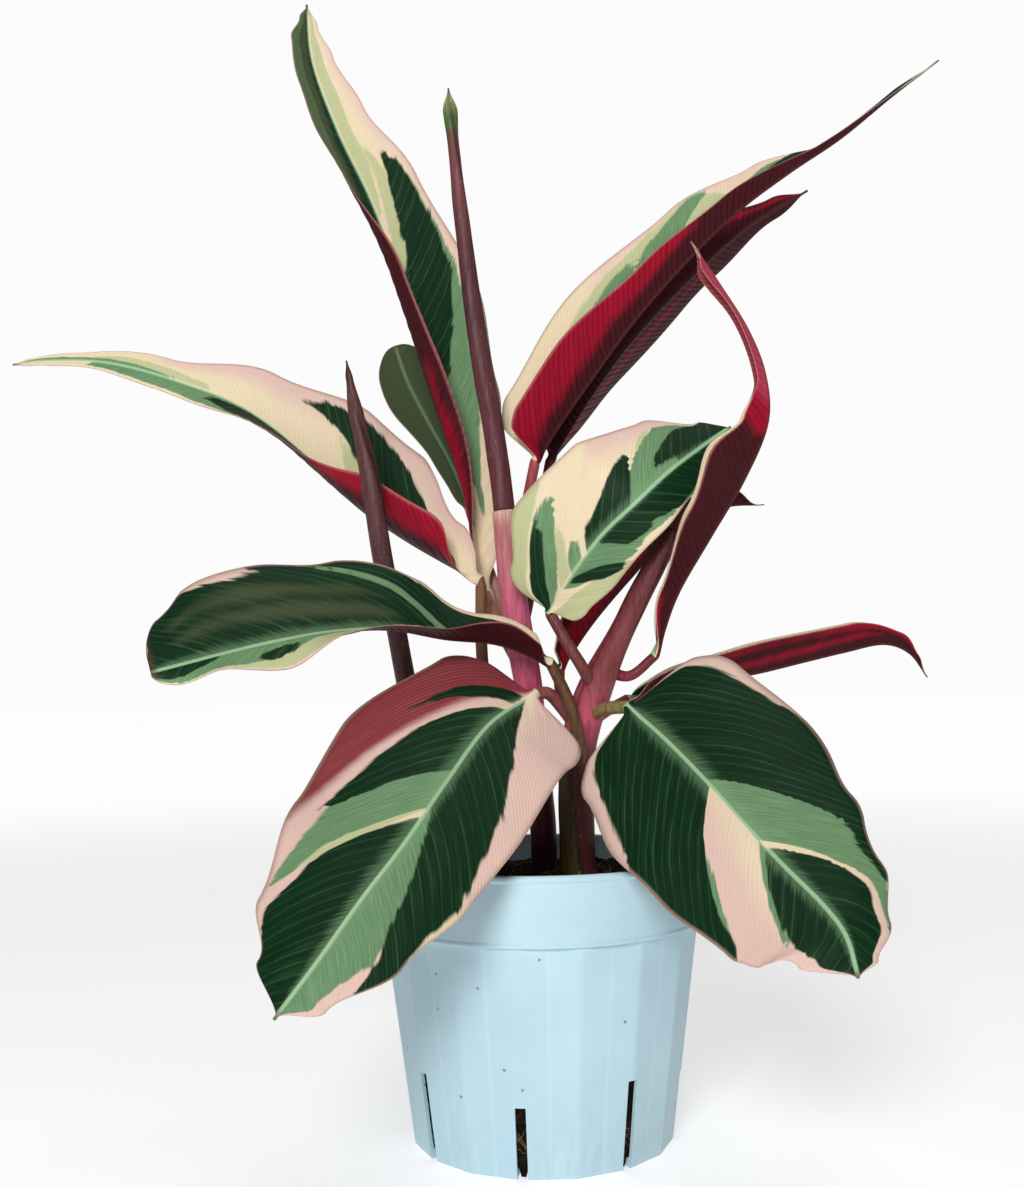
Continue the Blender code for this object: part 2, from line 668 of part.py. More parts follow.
def main():
    clear_scene()
    plant = make_collection("potted_prayer_plant", True)
    cutters = make_collection("cutters", False)
    make_pot(plant, cutters)
    for name, shoot in SHOOTS.items():
        stem(name, shoot["path"], shoot["radius"], shoot["colour"], plant)
        stem_space(name, shoot["path"], shoot["radius"], cutters)
    for name, leaf in LEAVES.items():
        blade = leaf_solid(name, leaf, plant)
        if leaf["shoot"]:
            boolean(blade, cutters.objects[leaf["shoot"] + "_space"], "DIFFERENCE")
    make_soil(plant, cutters)
    for obj in cutters.objects:
        obj.hide_render = True
        obj.display_type = "WIRE"


main()
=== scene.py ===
# Looks of the potted prayer plant: fine leaves with their markings, stems, pot and soil.
# Sizes in the dictionaries are millimetres, as in the part's source; +Y is away from the front.

import json
import math
import random

import bmesh
import bpy
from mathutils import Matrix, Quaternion, Vector, noise


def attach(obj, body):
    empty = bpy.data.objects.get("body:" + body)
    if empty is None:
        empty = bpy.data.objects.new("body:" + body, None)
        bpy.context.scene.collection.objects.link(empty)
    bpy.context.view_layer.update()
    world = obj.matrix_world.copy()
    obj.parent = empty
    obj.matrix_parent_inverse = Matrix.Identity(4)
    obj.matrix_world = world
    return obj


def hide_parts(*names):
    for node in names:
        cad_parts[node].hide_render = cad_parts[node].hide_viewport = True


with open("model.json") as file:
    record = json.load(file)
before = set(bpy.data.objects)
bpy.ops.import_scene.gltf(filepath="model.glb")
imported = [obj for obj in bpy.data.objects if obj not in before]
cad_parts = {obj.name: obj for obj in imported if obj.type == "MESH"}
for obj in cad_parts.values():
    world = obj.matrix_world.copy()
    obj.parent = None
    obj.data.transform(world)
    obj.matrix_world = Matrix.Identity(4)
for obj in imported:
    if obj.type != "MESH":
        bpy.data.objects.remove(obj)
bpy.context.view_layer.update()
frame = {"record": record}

mm = 0.001
body = "root"


# Small maths

def smooth(t):
    t = min(max(t, 0.0), 1.0)
    return t * t * (3 - 2 * t)


def mix(a, b, t):
    return a + (b - a) * t


def between(stops, share):  # value at a share, read smoothly from (share, value) stops
    if share <= stops[0][0]:
        return stops[0][1]
    for (a, low), (b, high) in zip(stops, stops[1:]):
        if share <= b:
            return mix(low, high, smooth((share - a) / (b - a)))
    return stops[-1][1]


def straight(stops, share, k):  # value k of the stops at a share, in straight lines
    for a, b in zip(stops, stops[1:]):
        if share <= b[0]:
            return mix(a[k], b[k], (share - a[0]) / max(b[0] - a[0], 1e-6))
    return stops[-1][k]


def curvePoint(points, share):
    count = len(points) - 1
    place = min(max(share, 0.0), 1.0) * count
    i = min(int(place), count - 1)
    t = place - i
    b, c = Vector(points[i]), Vector(points[i + 1])
    a = Vector(points[i - 1]) if i else 2 * b - c
    d = Vector(points[i + 2]) if i + 2 <= count else 2 * c - b
    return 0.5 * (2 * b + (c - a) * t + (2 * a - 5 * b + 4 * c - d) * t**2 + (3 * (b - c) + d - a) * t**3)


def curveWay(points, share, step=0.004):
    low, high = max(share - step, 0.0), min(share + step, 1.0)
    return (curvePoint(points, high) - curvePoint(points, low)).normalized()


def roundEnd(share, length):
    t = min(max(share / length, 0.0), 1.0)
    return math.sqrt(1 - (1 - t) ** 2)


# Shaders: a Value wraps a socket, and an expression on values adds its Math nodes

class Value:
    def __init__(self, shade, socket):
        self.shade = shade
        self.socket = socket

    def maths(self, operation, *values):
        return self.shade.node("Math", {"operation": operation}, dict(enumerate(values)))

    def __add__(self, other):
        return self.maths("ADD", self, other)

    __radd__ = __add__

    def __mul__(self, other):
        return self.maths("MULTIPLY", self, other)

    __rmul__ = __mul__

    def __sub__(self, other):
        return self.maths("SUBTRACT", self, other)

    def __rsub__(self, other):
        return self.maths("SUBTRACT", other, self)

    def __pow__(self, other):
        return self.maths("POWER", self, other)

    def __abs__(self):
        return self.maths("ABSOLUTE", self)

    def sine(self):
        return self.maths("SINE", self)

    def largest(self, other):
        return self.maths("MAXIMUM", self, other)

    def ramp(self, low, high):  # 0 at low, 1 at high, smooth between them
        settings = {"interpolation_type": "SMOOTHSTEP"}
        return self.shade.node("MapRange", settings, {"Value": self, "From Min": low, "From Max": high})


class Shade:
    def __init__(self, name, **fixed):
        self.material = bpy.data.materials.new(name)
        self.material.use_nodes = True
        self.tree = self.material.node_tree
        self.surface = self.tree.nodes["Principled BSDF"]
        for socket, value in fixed.items():
            self.surface.inputs[socket.replace("_", " ")].default_value = value

    def node(self, kind, settings=None, sockets=None, out=0):
        made = self.tree.nodes.new("ShaderNode" + kind)
        for key, value in (settings or {}).items():
            setattr(made, key, value)
        for key, value in (sockets or {}).items():
            if isinstance(value, Value):
                self.tree.links.new(value.socket, made.inputs[key])
            else:
                made.inputs[key].default_value = value
        return Value(self, made.outputs[out])

    def attribute(self, name, out="Fac"):
        return self.node("Attribute", {"attribute_name": name}, out=out)

    def place(self):
        return self.node("TexCoord", out="Object")

    def scaled(self, vector, scale):
        return self.node("VectorMath", {"operation": "MULTIPLY"}, {0: vector, 1: scale})

    def vector(self, x, y, z=0.0):
        return self.node("CombineXYZ", None, {0: x, 1: y, 2: z})

    def noise(self, vector, scale, detail=3.0, roughness=0.55, out=0):
        sockets = {"Vector": vector, "Scale": scale, "Detail": detail, "Roughness": roughness}
        return self.node("TexNoise", None, sockets, out)

    def blend(self, factor, a, b, how="MIX"):
        colours = [(*c, 1) if isinstance(c, tuple) else c for c in (a, b)]
        settings = {"data_type": "RGBA", "blend_type": how}
        return self.node("Mix", settings, {0: factor, 6: colours[0], 7: colours[1]}, out=2)

    def layered(self, base, *layers):  # each layer is how much of it there is, and its colour
        for factor, colour in layers:
            base = self.blend(factor, base, colour)
        return base

    def link(self, **sockets):
        for name, value in sockets.items():
            self.tree.links.new(value.socket, self.surface.inputs[name.replace("_", " ")])

    def bump(self, height, strength, distance):
        sockets = {"Strength": strength, "Distance": distance, "Height": height}
        self.link(Normal=self.node("Bump", None, sockets))


# Leaf skins

leafColours = {
    "cream": (0.74, 0.60, 0.41), "peach": (0.70, 0.47, 0.42), "light": (0.48, 0.50, 0.27),
    "mid": (0.11, 0.22, 0.10), "dark": (0.004, 0.032, 0.010), "deep": (0.003, 0.019, 0.007),
    "vein": (0.34, 0.54, 0.32), "crimson": (0.30, 0.003, 0.020), "maroon": (0.042, 0.005, 0.008),
    # olive also serves as painted shade, darkening blades or parts of them that lie in shade
    "rose": (0.24, 0.036, 0.045), "olive_and_painted_shade": (0.062, 0.080, 0.036),
}


def bladeNoise(shade):  # streaks that run along the veins
    vein, across = shade.attribute("vein"), shade.attribute("across")
    streaks = shade.noise(shade.vector(vein * 0.42, across * 0.05), 1.0, 4.0, 0.6)
    broad = shade.noise(shade.vector(vein * 0.13, across * 0.06, 7.0), 1.0, 2.0)
    return vein, across, streaks, broad


def bladeTop():
    shade = Shade("bladeTop", Roughness=0.42, Specular_IOR_Level=0.10)
    colour = leafColours
    vein, across, streaks, broad = bladeNoise(shade)
    share = shade.attribute("sharing")  # 0 on the midrib, 1 on the margin
    ragged = (streaks - 0.5) * 0.30 * broad.ramp(0.46, 0.66) + (broad - 0.5) * 0.16
    fine = shade.noise(shade.vector(vein * 1.6, across * 0.12, 3.0), 1.0, 3.0)

    def mask(name, width=0.03, jag=1.0):
        return (shade.attribute(name) + ragged * jag).ramp(-width, width)

    darkness = mask("dark")
    green = mask("mid").largest(darkness)
    sage = shade.blend(fine.ramp(0.3, 0.8), colour["mid"], (0.19, 0.32, 0.17))
    depth = shade.blend((streaks * 0.6 + fine * 0.4).ramp(0.35, 0.7), colour["deep"], colour["dark"])
    depth = shade.blend((broad * 0.7 + streaks * 0.3).ramp(0.5, 0.75) * 0.3, depth, (0.024, 0.070, 0.024))
    # pale green feathering along the midrib, which also stands in for a painted sheen there
    featherAndSheen = (share + (fine - 0.5) * 0.22).ramp(0.14, 0.01)
    paleLine = (abs((vein * 1.4 + fine * 0.5).sine()) ** 10.0) * (broad * 1.6 - 0.35).ramp(0.0, 1.0)
    veinLine = abs((vein * 0.62 + broad * 1.5 + fine * 0.2).sine()) ** 40.0
    veinLine = veinLine * (broad * 1.8 - 0.4).ramp(0.0, 1.0)
    rib = (abs(across) + fine * 0.3).ramp(1.05, 0.55)
    base = shade.layered(
        shade.blend((broad * 1.3 - 0.4).ramp(0.0, 1.0) * 0.5, colour["cream"], (0.84, 0.72, 0.56)),
        ((streaks - 0.35).ramp(0.0, 0.4) * 0.35, (0.74, 0.70, 0.42)),
        (mask("pink", 0.25, 0.5) * 0.9, colour["peach"]),
        (mask("rose", 0.16, 0.5), colour["rose"]),
        (mask("light"), colour["light"]),
        (mask("mid"), sage),
        (darkness, depth),
        # the feathering, partly a painted sheen along the midrib
        (featherAndSheen * green * 0.38, (0.21, 0.37, 0.19)),
        (paleLine * (1.0 - green) * 0.30, (0.50, 0.33, 0.26)),
        (veinLine * green * 0.28, (0.10, 0.22, 0.09)),
        (rib * 0.85, shade.blend(green, (0.72, 0.62, 0.42), colour["vein"])),
        # painted shade: the olive layer darkens the blade, midrib too, where it lies in shade
        (mask("olive_and_painted_shade", 0.10) * 0.75, colour["olive_and_painted_shade"]),
        (share.ramp(0.955, 0.995) * 0.6, (0.56, 0.36, 0.27)),
        (shade.attribute("dry") * 0.8, (0.09, 0.05, 0.03)),
    )
    shade.link(Base_Color=base, Roughness=0.36 + fine * 0.16 + broad * 0.08)
    shade.bump((vein * 3.3).sine() * 0.25 + fine * 0.5 + rib * 0.6, 0.35, 0.0003)
    return shade.material


def bladeUnder():
    shade = Shade("bladeUnder", Roughness=0.48, Specular_IOR_Level=0.09)
    vein, across, streaks, broad = bladeNoise(shade)
    share = shade.attribute("sharing")
    glow = (shade.attribute("glow") + (streaks - 0.5) * 0.35 + (broad - 0.5) * 0.2).ramp(-0.12, 0.2)
    rib = (abs(across) + streaks * 0.4).ramp(1.4, 0.5)
    base = shade.layered(
        shade.blend(glow, leafColours["maroon"], leafColours["crimson"]),
        ((streaks - 0.2).ramp(0.15, 0.6) * 0.35, (0.020, 0.004, 0.006)),
        (abs((vein * 1.9).sine()) ** 8.0 * 0.06, (0.40, 0.05, 0.07)),
        (shade.attribute("rose").ramp(-0.1, 0.3) * 0.6, (0.46, 0.07, 0.12)),
        (rib * 0.5, (0.10, 0.030, 0.028)),
        (share.ramp(0.93, 0.99) * 0.55, (0.50, 0.17, 0.16)),
    )
    shade.link(Base_Color=base, Roughness=0.42 + streaks * 0.2)
    shade.bump((vein * 1.9).sine() * 0.5 + streaks * 0.6, 0.5, 0.0004)
    return shade.material


def stemSkin():
    shade = Shade("stemSkin", Roughness=0.45, Specular_IOR_Level=0.25)
    place = shade.place()
    streaks = shade.noise(shade.scaled(place, (900, 900, 60)), 1.0, 4.0, 0.6)
    broad = shade.noise(shade.scaled(place, (160, 160, 25)), 1.0, 3.0)
    specks = shade.noise(shade.scaled(place, (1500, 1500, 700)), 1.0, 2.0)
    paint = shade.attribute("paint", "Color")
    base = shade.blend(streaks.ramp(0.42, 0.62) * 0.5, paint, (0.42, 0.34, 0.34), "MULTIPLY")
    base = shade.layered(
        base,
        (broad.ramp(0.55, 0.8) * 0.2, (0.13, 0.095, 0.030)),
        (specks.ramp(0.62, 0.72) * 0.25, (0.45, 0.26, 0.20)),
    )
    shade.link(Base_Color=base, Roughness=0.38 + streaks * 0.22)
    shade.bump(streaks * 0.8 + specks * 0.3, 0.5, 0.0005)
    return shade.material


# Meshes

def skin(name, rings, values, materials, pick=lambda i, j: 0):  # closed body through rings of points
    count = len(rings[0])
    corners = [p * mm for ring in rings for p in ring]
    faces, slots = [], []
    for i in range(len(rings) - 1):
        for j in range(count):
            k = (j + 1) % count
            faces.append((i * count + j, i * count + k, (i + 1) * count + k, (i + 1) * count + j))
            slots.append(pick(i, j))
    for i in (0, len(rings) - 1):
        corners.append(sum(rings[i], Vector()) / count * mm)
        for column in values.values():
            column.append(column[i * count])
        for j in range(count):
            k = (j + 1) % count
            face = (i * count + j, i * count + k, len(corners) - 1)
            faces.append(face if i else face[::-1])
            slots.append(pick(min(i, len(rings) - 2), j))
    mesh = bpy.data.meshes.new(name)
    mesh.from_pydata(corners, [], faces)
    for material in materials:
        mesh.materials.append(material)
    mesh.polygons.foreach_set("material_index", slots)
    mesh.polygons.foreach_set("use_smooth", [True] * len(faces))
    for key, column in values.items():
        wide = not isinstance(column[0], float)
        made = mesh.attributes.new(key, "FLOAT_COLOR" if wide else "FLOAT", "POINT")
        flat = [v for entry in column for v in (*entry, 1.0)] if wide else column
        made.data.foreach_set("color" if wide else "value", flat)
    shape = bmesh.new()
    shape.from_mesh(mesh)
    bmesh.ops.remove_doubles(shape, verts=shape.verts[:], dist=1e-7)
    if shape.calc_volume(signed=True) < 0:
        bmesh.ops.reverse_faces(shape, faces=shape.faces[:])
    shape.to_mesh(mesh)
    shape.free()
    return addPiece(name, mesh)


def addPiece(name, data):  # new object in the scene
    made = bpy.data.objects.new(name, data)
    bpy.context.scene.collection.objects.link(made)
    return made


def addShape(name, shape):  # new mesh object from a bmesh
    mesh = bpy.data.meshes.new(name)
    shape.to_mesh(mesh)
    shape.free()
    return addPiece(name, mesh)


def settled(piece):  # its mesh with the modifiers applied
    return bpy.data.meshes.new_from_object(piece.evaluated_get(bpy.context.evaluated_depsgraph_get()))


def applyModifiers(piece):
    mesh = settled(piece)
    piece.modifiers.clear()
    piece.data = mesh
    return mesh


def keep(piece, slot, *nodes):
    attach(piece, body)
    if nodes:
        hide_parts(*nodes)


# Leaves: spine is the midrib from the blade's foot to its tip, and stalk leads from the shoot to the
# blade. face says which way the upper side looks. left and right are the width of each half in
# millimetres, and the folds and curls its angles in degrees. All these are (share of the blade's length
# in hundredths, value). paint is the stalk's colour at the shoot and at the blade.
leaves = {
    "leaf_tall": dict(
        stalk=[(-4, 2, 166), (-9, 8, 175), (-15, 14, 186)],
        spine=[(-19, 17, 197), (-24, 22, 232), (-35, 23, 270), (-48, 24, 314), (-62, 30, 355),
            (-77, 36, 389), (-88, 42, 421), (-91, 46, 448)],
        face=[(70, (0.3, -0.95, 0.1)), (100, (0.5, -0.85, 0.1))],
        left=[(0, 6), (15, 12), (35, 16), (60, 15), (80, 12), (90, 9), (96, 4), (100, 0)],
        right=[(0, 4), (15, 12), (30, 25), (42, 30), (60, 22), (75, 14), (87, 9), (95, 4), (100, 0)],
        foldLeft=[(0, 30), (30, 20), (70, 15), (100, 10)],
        foldRight=[(0, 25), (40, 5)],
        curlLeft=[(0, 40), (25, 150), (45, 120), (60, 60), (75, 30), (100, 0)],
        curlRight=[(0, -15), (100, 10)],
        stalkRadius=(2.6, 2.4), foot=0.06,
        paint=((0.20, 0.055, 0.045), (0.50, 0.24, 0.17)),
    ),
    "leaf_tailed": dict(
        stalk=[(-8, 0, 192), (-5, 4, 206), (-3, 7, 226)],
        spine=[(1, 9, 246), (10, 10, 260), (24, 13, 280), (41, 17, 303), (61, 21, 326), (83, 25, 348),
            (105, 28, 365), (127, 30, 380), (148, 31, 397), (168, 30, 412)],
        face=[(80, (-0.7, -0.2, 0.68)), (100, (-0.7, -0.6, 0.5))],
        left=[(0, 14), (12, 24), (30, 28), (50, 21), (63, 12), (74, 4), (90, 2.6), (100, 0)],
        right=[(0, 13), (10, 18), (22, 19), (40, 12), (55, 8), (74, 3.5), (90, 2.6), (100, 0)],
        foldLeft=[(0, 65), (60, 62), (100, 40)],
        foldRight=[(0, 80), (50, 85), (100, 50)],
        curlLeft=[(0, 0)],
        stalkRadius=(2.2, 2.0), foot=0.06, lobes=(2, 2),
        paint=((0.22, 0.06, 0.04), (0.42, 0.07, 0.08)),
    ),
    "leaf_dark": dict(
        stalk=[(-6, 1, 180), (-2, 9, 195), (2, 15, 220)],
        spine=[(7, 22, 248), (22, 32, 273), (41, 42, 300), (66, 52, 328), (93, 61, 354), (122, 68, 373)],
        face=[(0, (-0.3, 0.8, 0.4))],
        left=[(0, 5), (20, 15), (45, 18), (70, 13), (90, 5), (100, 0)],
        right=[(0, 6), (20, 17), (45, 19), (70, 14), (90, 5), (100, 0)],
        foldLeft=[(0, 45), (60, 30), (100, 15)],
        curlLeft=[(0, 10)],
        stalkRadius=(2.2, 1.9), foot=0.08,
        paint=((0.18, 0.04, 0.03), (0.13, 0.02, 0.02)),
    ),
    "leaf_long": dict(
        stalk=[(-15, 14, 76), (-15, 13, 101), (-17, 8, 134), (-20, 3, 172)],
        spine=[(-20, 1, 200), (-36, 8, 209), (-53, 16, 220), (-70, 21, 233), (-90, 26, 254),
            (-114, 30, 273), (-141, 34, 285), (-170, 38, 294), (-195, 40, 296), (-211, 41, 295)],
        face=[(0, (-0.2, -0.85, 0.5))],
        left=[(0, 6), (15, 19), (30, 20), (50, 11), (70, 7), (85, 3), (95, 2), (100, 0)],
        right=[(0, 5), (12, 17), (30, 33), (42, 31), (55, 20), (70, 9), (85, 4), (95, 2), (100, 0)],
        foldLeft=[(0, 40), (12, 75), (30, 70), (45, 45), (65, 5), (100, 0)],
        foldRight=[(0, 10), (50, 5), (100, 10)],
        curlLeft=[(0, 20), (12, 80), (30, 80), (50, 40), (65, 0)],
        curlRight=[(0, -10)],
        stalkRadius=(2.6, 2.1), foot=0.06,
        paint=((0.15, 0.07, 0.03), (0.20, 0.10, 0.05)),
    ),
    "leaf_back": dict(
        stalk=[(-3, 2, 157), (-6, 12, 170), (-12, 21, 190), (-19, 27, 212)],
        spine=[(-25, 28, 231), (-32, 38, 250), (-42, 48, 270), (-51, 58, 289), (-57, 66, 307)],
        face=[(0, (-0.1, -0.95, 0.3))],
        left=[(0, 4), (30, 7), (65, 12), (100, 10)],
        right=[(0, 6), (30, 13), (65, 17), (100, 12)],
        foldLeft=[(0, 30), (100, 10)],
        curlLeft=[(0, -10)],
        stalkRadius=(2.2, 1.8), foot=0.1, tip=0.22,
        paint=((0.20, 0.10, 0.06), (0.48, 0.28, 0.20)),
    ),
    "leaf_left": dict(
        stalk=[(14, -3, 128), (15, -11, 138), (12, -15, 153)],
        spine=[(5, -14, 169), (-13, -20, 176), (-32, -28, 178), (-50, -38, 181), (-68, -48, 180),
            (-85, -56, 177), (-101, -63, 173), (-112, -67, 170), (-123, -71, 167)],
        face=[(0, (-0.1, -0.6, 0.8)), (40, (-0.1, -0.8, 0.58)), (100, (-0.2, -0.8, 0.55))],
        left=[(0, 6), (15, 11), (40, 12), (60, 14), (80, 8), (100, 7)],
        right=[(0, 7), (15, 14), (30, 24), (45, 33), (60, 37), (80, 36), (92, 28), (100, 25)],
        foldLeft=[(0, 75), (30, 65), (50, 35), (65, 10), (100, 0)],
        foldRight=[(0, 20), (50, 8), (100, 0)],
        curlLeft=[(50, 0), (100, -20)],
        curlRight=[(0, -10), (100, -15)],
        stalkRadius=(2.4, 2.0), foot=0.05, tip=0.12, wave=(1.4, 3),
        paint=((0.16, 0.08, 0.03), (0.10, 0.04, 0.02)),
    ),
    "leaf_middle": dict(
        stalk=[(21, -9, 158), (17, -15, 166), (11, -16, 176)],
        spine=[(5, -14, 187), (12, -21, 199), (23, -28, 213), (35, -32, 224), (48, -28, 236),
            (61, -21, 246), (72, -14, 254)],
        face=[(0, (-0.1, -0.95, 0.1)), (50, (-0.2, -0.95, 0.2)), (100, (0, -0.8, 0.6))],
        left=[(0, 11), (10, 20), (25, 31), (50, 31), (75, 23), (92, 10), (100, 0)],
        right=[(0, 8), (10, 12), (25, 15), (50, 14), (75, 11), (92, 6), (100, 0)],
        foldLeft=[(0, 15), (100, 5)],
        foldRight=[(0, 10), (30, -20), (100, -30)],
        curlLeft=[(0, -15)],
        curlRight=[(0, 0)],
        stalkRadius=(2.2, 2.0), foot=0.07, lobes=(3, 2),
        paint=((0.20, 0.05, 0.05), (0.15, 0.04, 0.04)),
    ),
    "leaf_furled": dict(
        stalk=[(25, -10, 166), (34, -8, 164)],
        spine=[(43, -9, 171), (50, -15, 192), (61, -26, 212), (72, -35, 231), (80, -39, 250),
            (80, -38, 267), (75, -35, 284), (66, -31, 302), (57, -28, 318)],
        face=[(0, (-0.85, -0.2, 0.45)), (50, (-0.85, -0.1, 0.3)), (70, (-0.8, -0.1, -0.5)),
            (100, (-0.7, -0.2, -0.6))],
        left=[(0, 2), (13, 6), (28, 12), (40, 16), (50, 9), (62, 4), (80, 3.2), (91, 4.5), (100, 0)],
        foldLeft=[(50, 65), (70, 60), (100, 55)],
        curlLeft=[(0, 20)],
        stalkRadius=(2.0, 1.7), foot=0.04,
        paint=((0.30, 0.03, 0.05), (0.14, 0.02, 0.03)),
    ),
    "leaf_under": dict(
        stalk=[(15, -4, 138), (12, 3, 150), (9, 7, 159)],
        spine=[(9, 9, 167), (21, 11, 184), (36, 14, 201), (54, 18, 219), (74, 20, 229), (90, 20, 230)],
        face=[(0, (-0.6, -0.1, 0.75)), (100, (-0.3, -0.1, 0.9))],
        left=[(0, 5), (20, 11), (50, 12), (80, 8), (100, 0)],
        foldLeft=[(0, 75), (100, 60)],
        curlLeft=[(0, 10)],
        stalkRadius=(2.2, 2.0), foot=0.06,
        paint=((0.28, 0.03, 0.05), (0.34, 0.02, 0.04)),
    ),
    "leaf_right": dict(
        stalk=[(17, -6, 145), (24, 0, 150)],
        spine=[(34, 10, 155), (49, 20, 158), (69, 30, 162), (89, 38, 165), (108, 44, 169), (127, 50, 173),
            (144, 53, 176), (155, 54, 172), (162, 54, 162)],
        face=[(80, (0, -0.1, 1)), (100, (0.6, -0.1, 0.8))],
        left=[(0, 3), (20, 9), (40, 12), (65, 11), (80, 6), (90, 3), (100, 0.5)],
        foldLeft=[(70, 70), (100, 50)],
        curlLeft=[(0, 15)],
        stalkRadius=(2.2, 2.0), foot=0.08,
        paint=((0.32, 0.04, 0.07), (0.30, 0.02, 0.05)),
    ),
    "leaf_front_right": dict(
        stalk=[(17, -6, 147), (23, -14, 152)],
        spine=[(32, -22, 153), (43, -37, 142), (54, -55, 129), (63, -71, 117), (72, -84, 106),
            (81, -95, 96), (86, -102, 88), (88, -107, 77)],
        face=[(0, (-0.3, -0.85, 0.4)), (50, (-0.15, -0.85, 0.45)), (100, (0.1, -0.85, 0.4))],
        left=[(0, 30), (12, 38), (30, 41), (50, 35), (70, 25), (85, 16), (95, 8), (100, 1)],
        right=[(0, 24), (12, 34), (28, 39), (45, 36), (65, 31), (82, 26), (94, 16), (100, 1)],
        foldLeft=[(0, 5), (50, 0)],
        curlLeft=[(0, -25)],
        curlRight=[(0, -15)],
        stalkRadius=(2.6, 2.3), foot=0.09, tip=0.05, lobes=(8, 4),
        paint=((0.24, 0.08, 0.05), (0.22, 0.20, 0.07)),
    ),
    "leaf_front_left": dict(
        stalk=[(16, -5, 144), (9, -10, 153), (4, -15, 158)],
        spine=[(-1, -20, 158), (-17, -38, 148), (-31, -58, 130), (-43, -75, 113), (-55, -90, 98),
            (-66, -102, 83), (-77, -111, 69)],
        face=[(0, (0.1, -0.85, 0.5)), (50, (0, -0.85, 0.5)), (100, (-0.2, -0.85, 0.45))],
        left=[(0, 26), (12, 31), (35, 31), (55, 28), (75, 22), (92, 11), (100, 0)],
        right=[(0, 18), (12, 31), (30, 43), (50, 41), (75, 31), (90, 18), (100, 0)],
        foldLeft=[(0, 10), (50, 0)],
        foldRight=[(0, 10), (50, 0), (100, -5)],
        curlLeft=[(0, -15)],
        curlRight=[(0, -20)],
        stalkRadius=(2.4, 2.2), foot=0.08, tip=0.04, lobes=(4, 4),
        paint=((0.26, 0.07, 0.07), (0.30, 0.10, 0.09)),
    ),
}
for leaf in leaves.values():
    for left, right in (("left", "right"), ("foldLeft", "foldRight"), ("curlLeft", "curlRight")):
        leaf.setdefault(right, leaf[left])  # a half that isn't given is like the left one
    for key in ("face", "left", "right", "foldLeft", "foldRight", "curlLeft", "curlRight"):
        leaf[key] = [(share / 100, value) for share, value in leaf[key]]
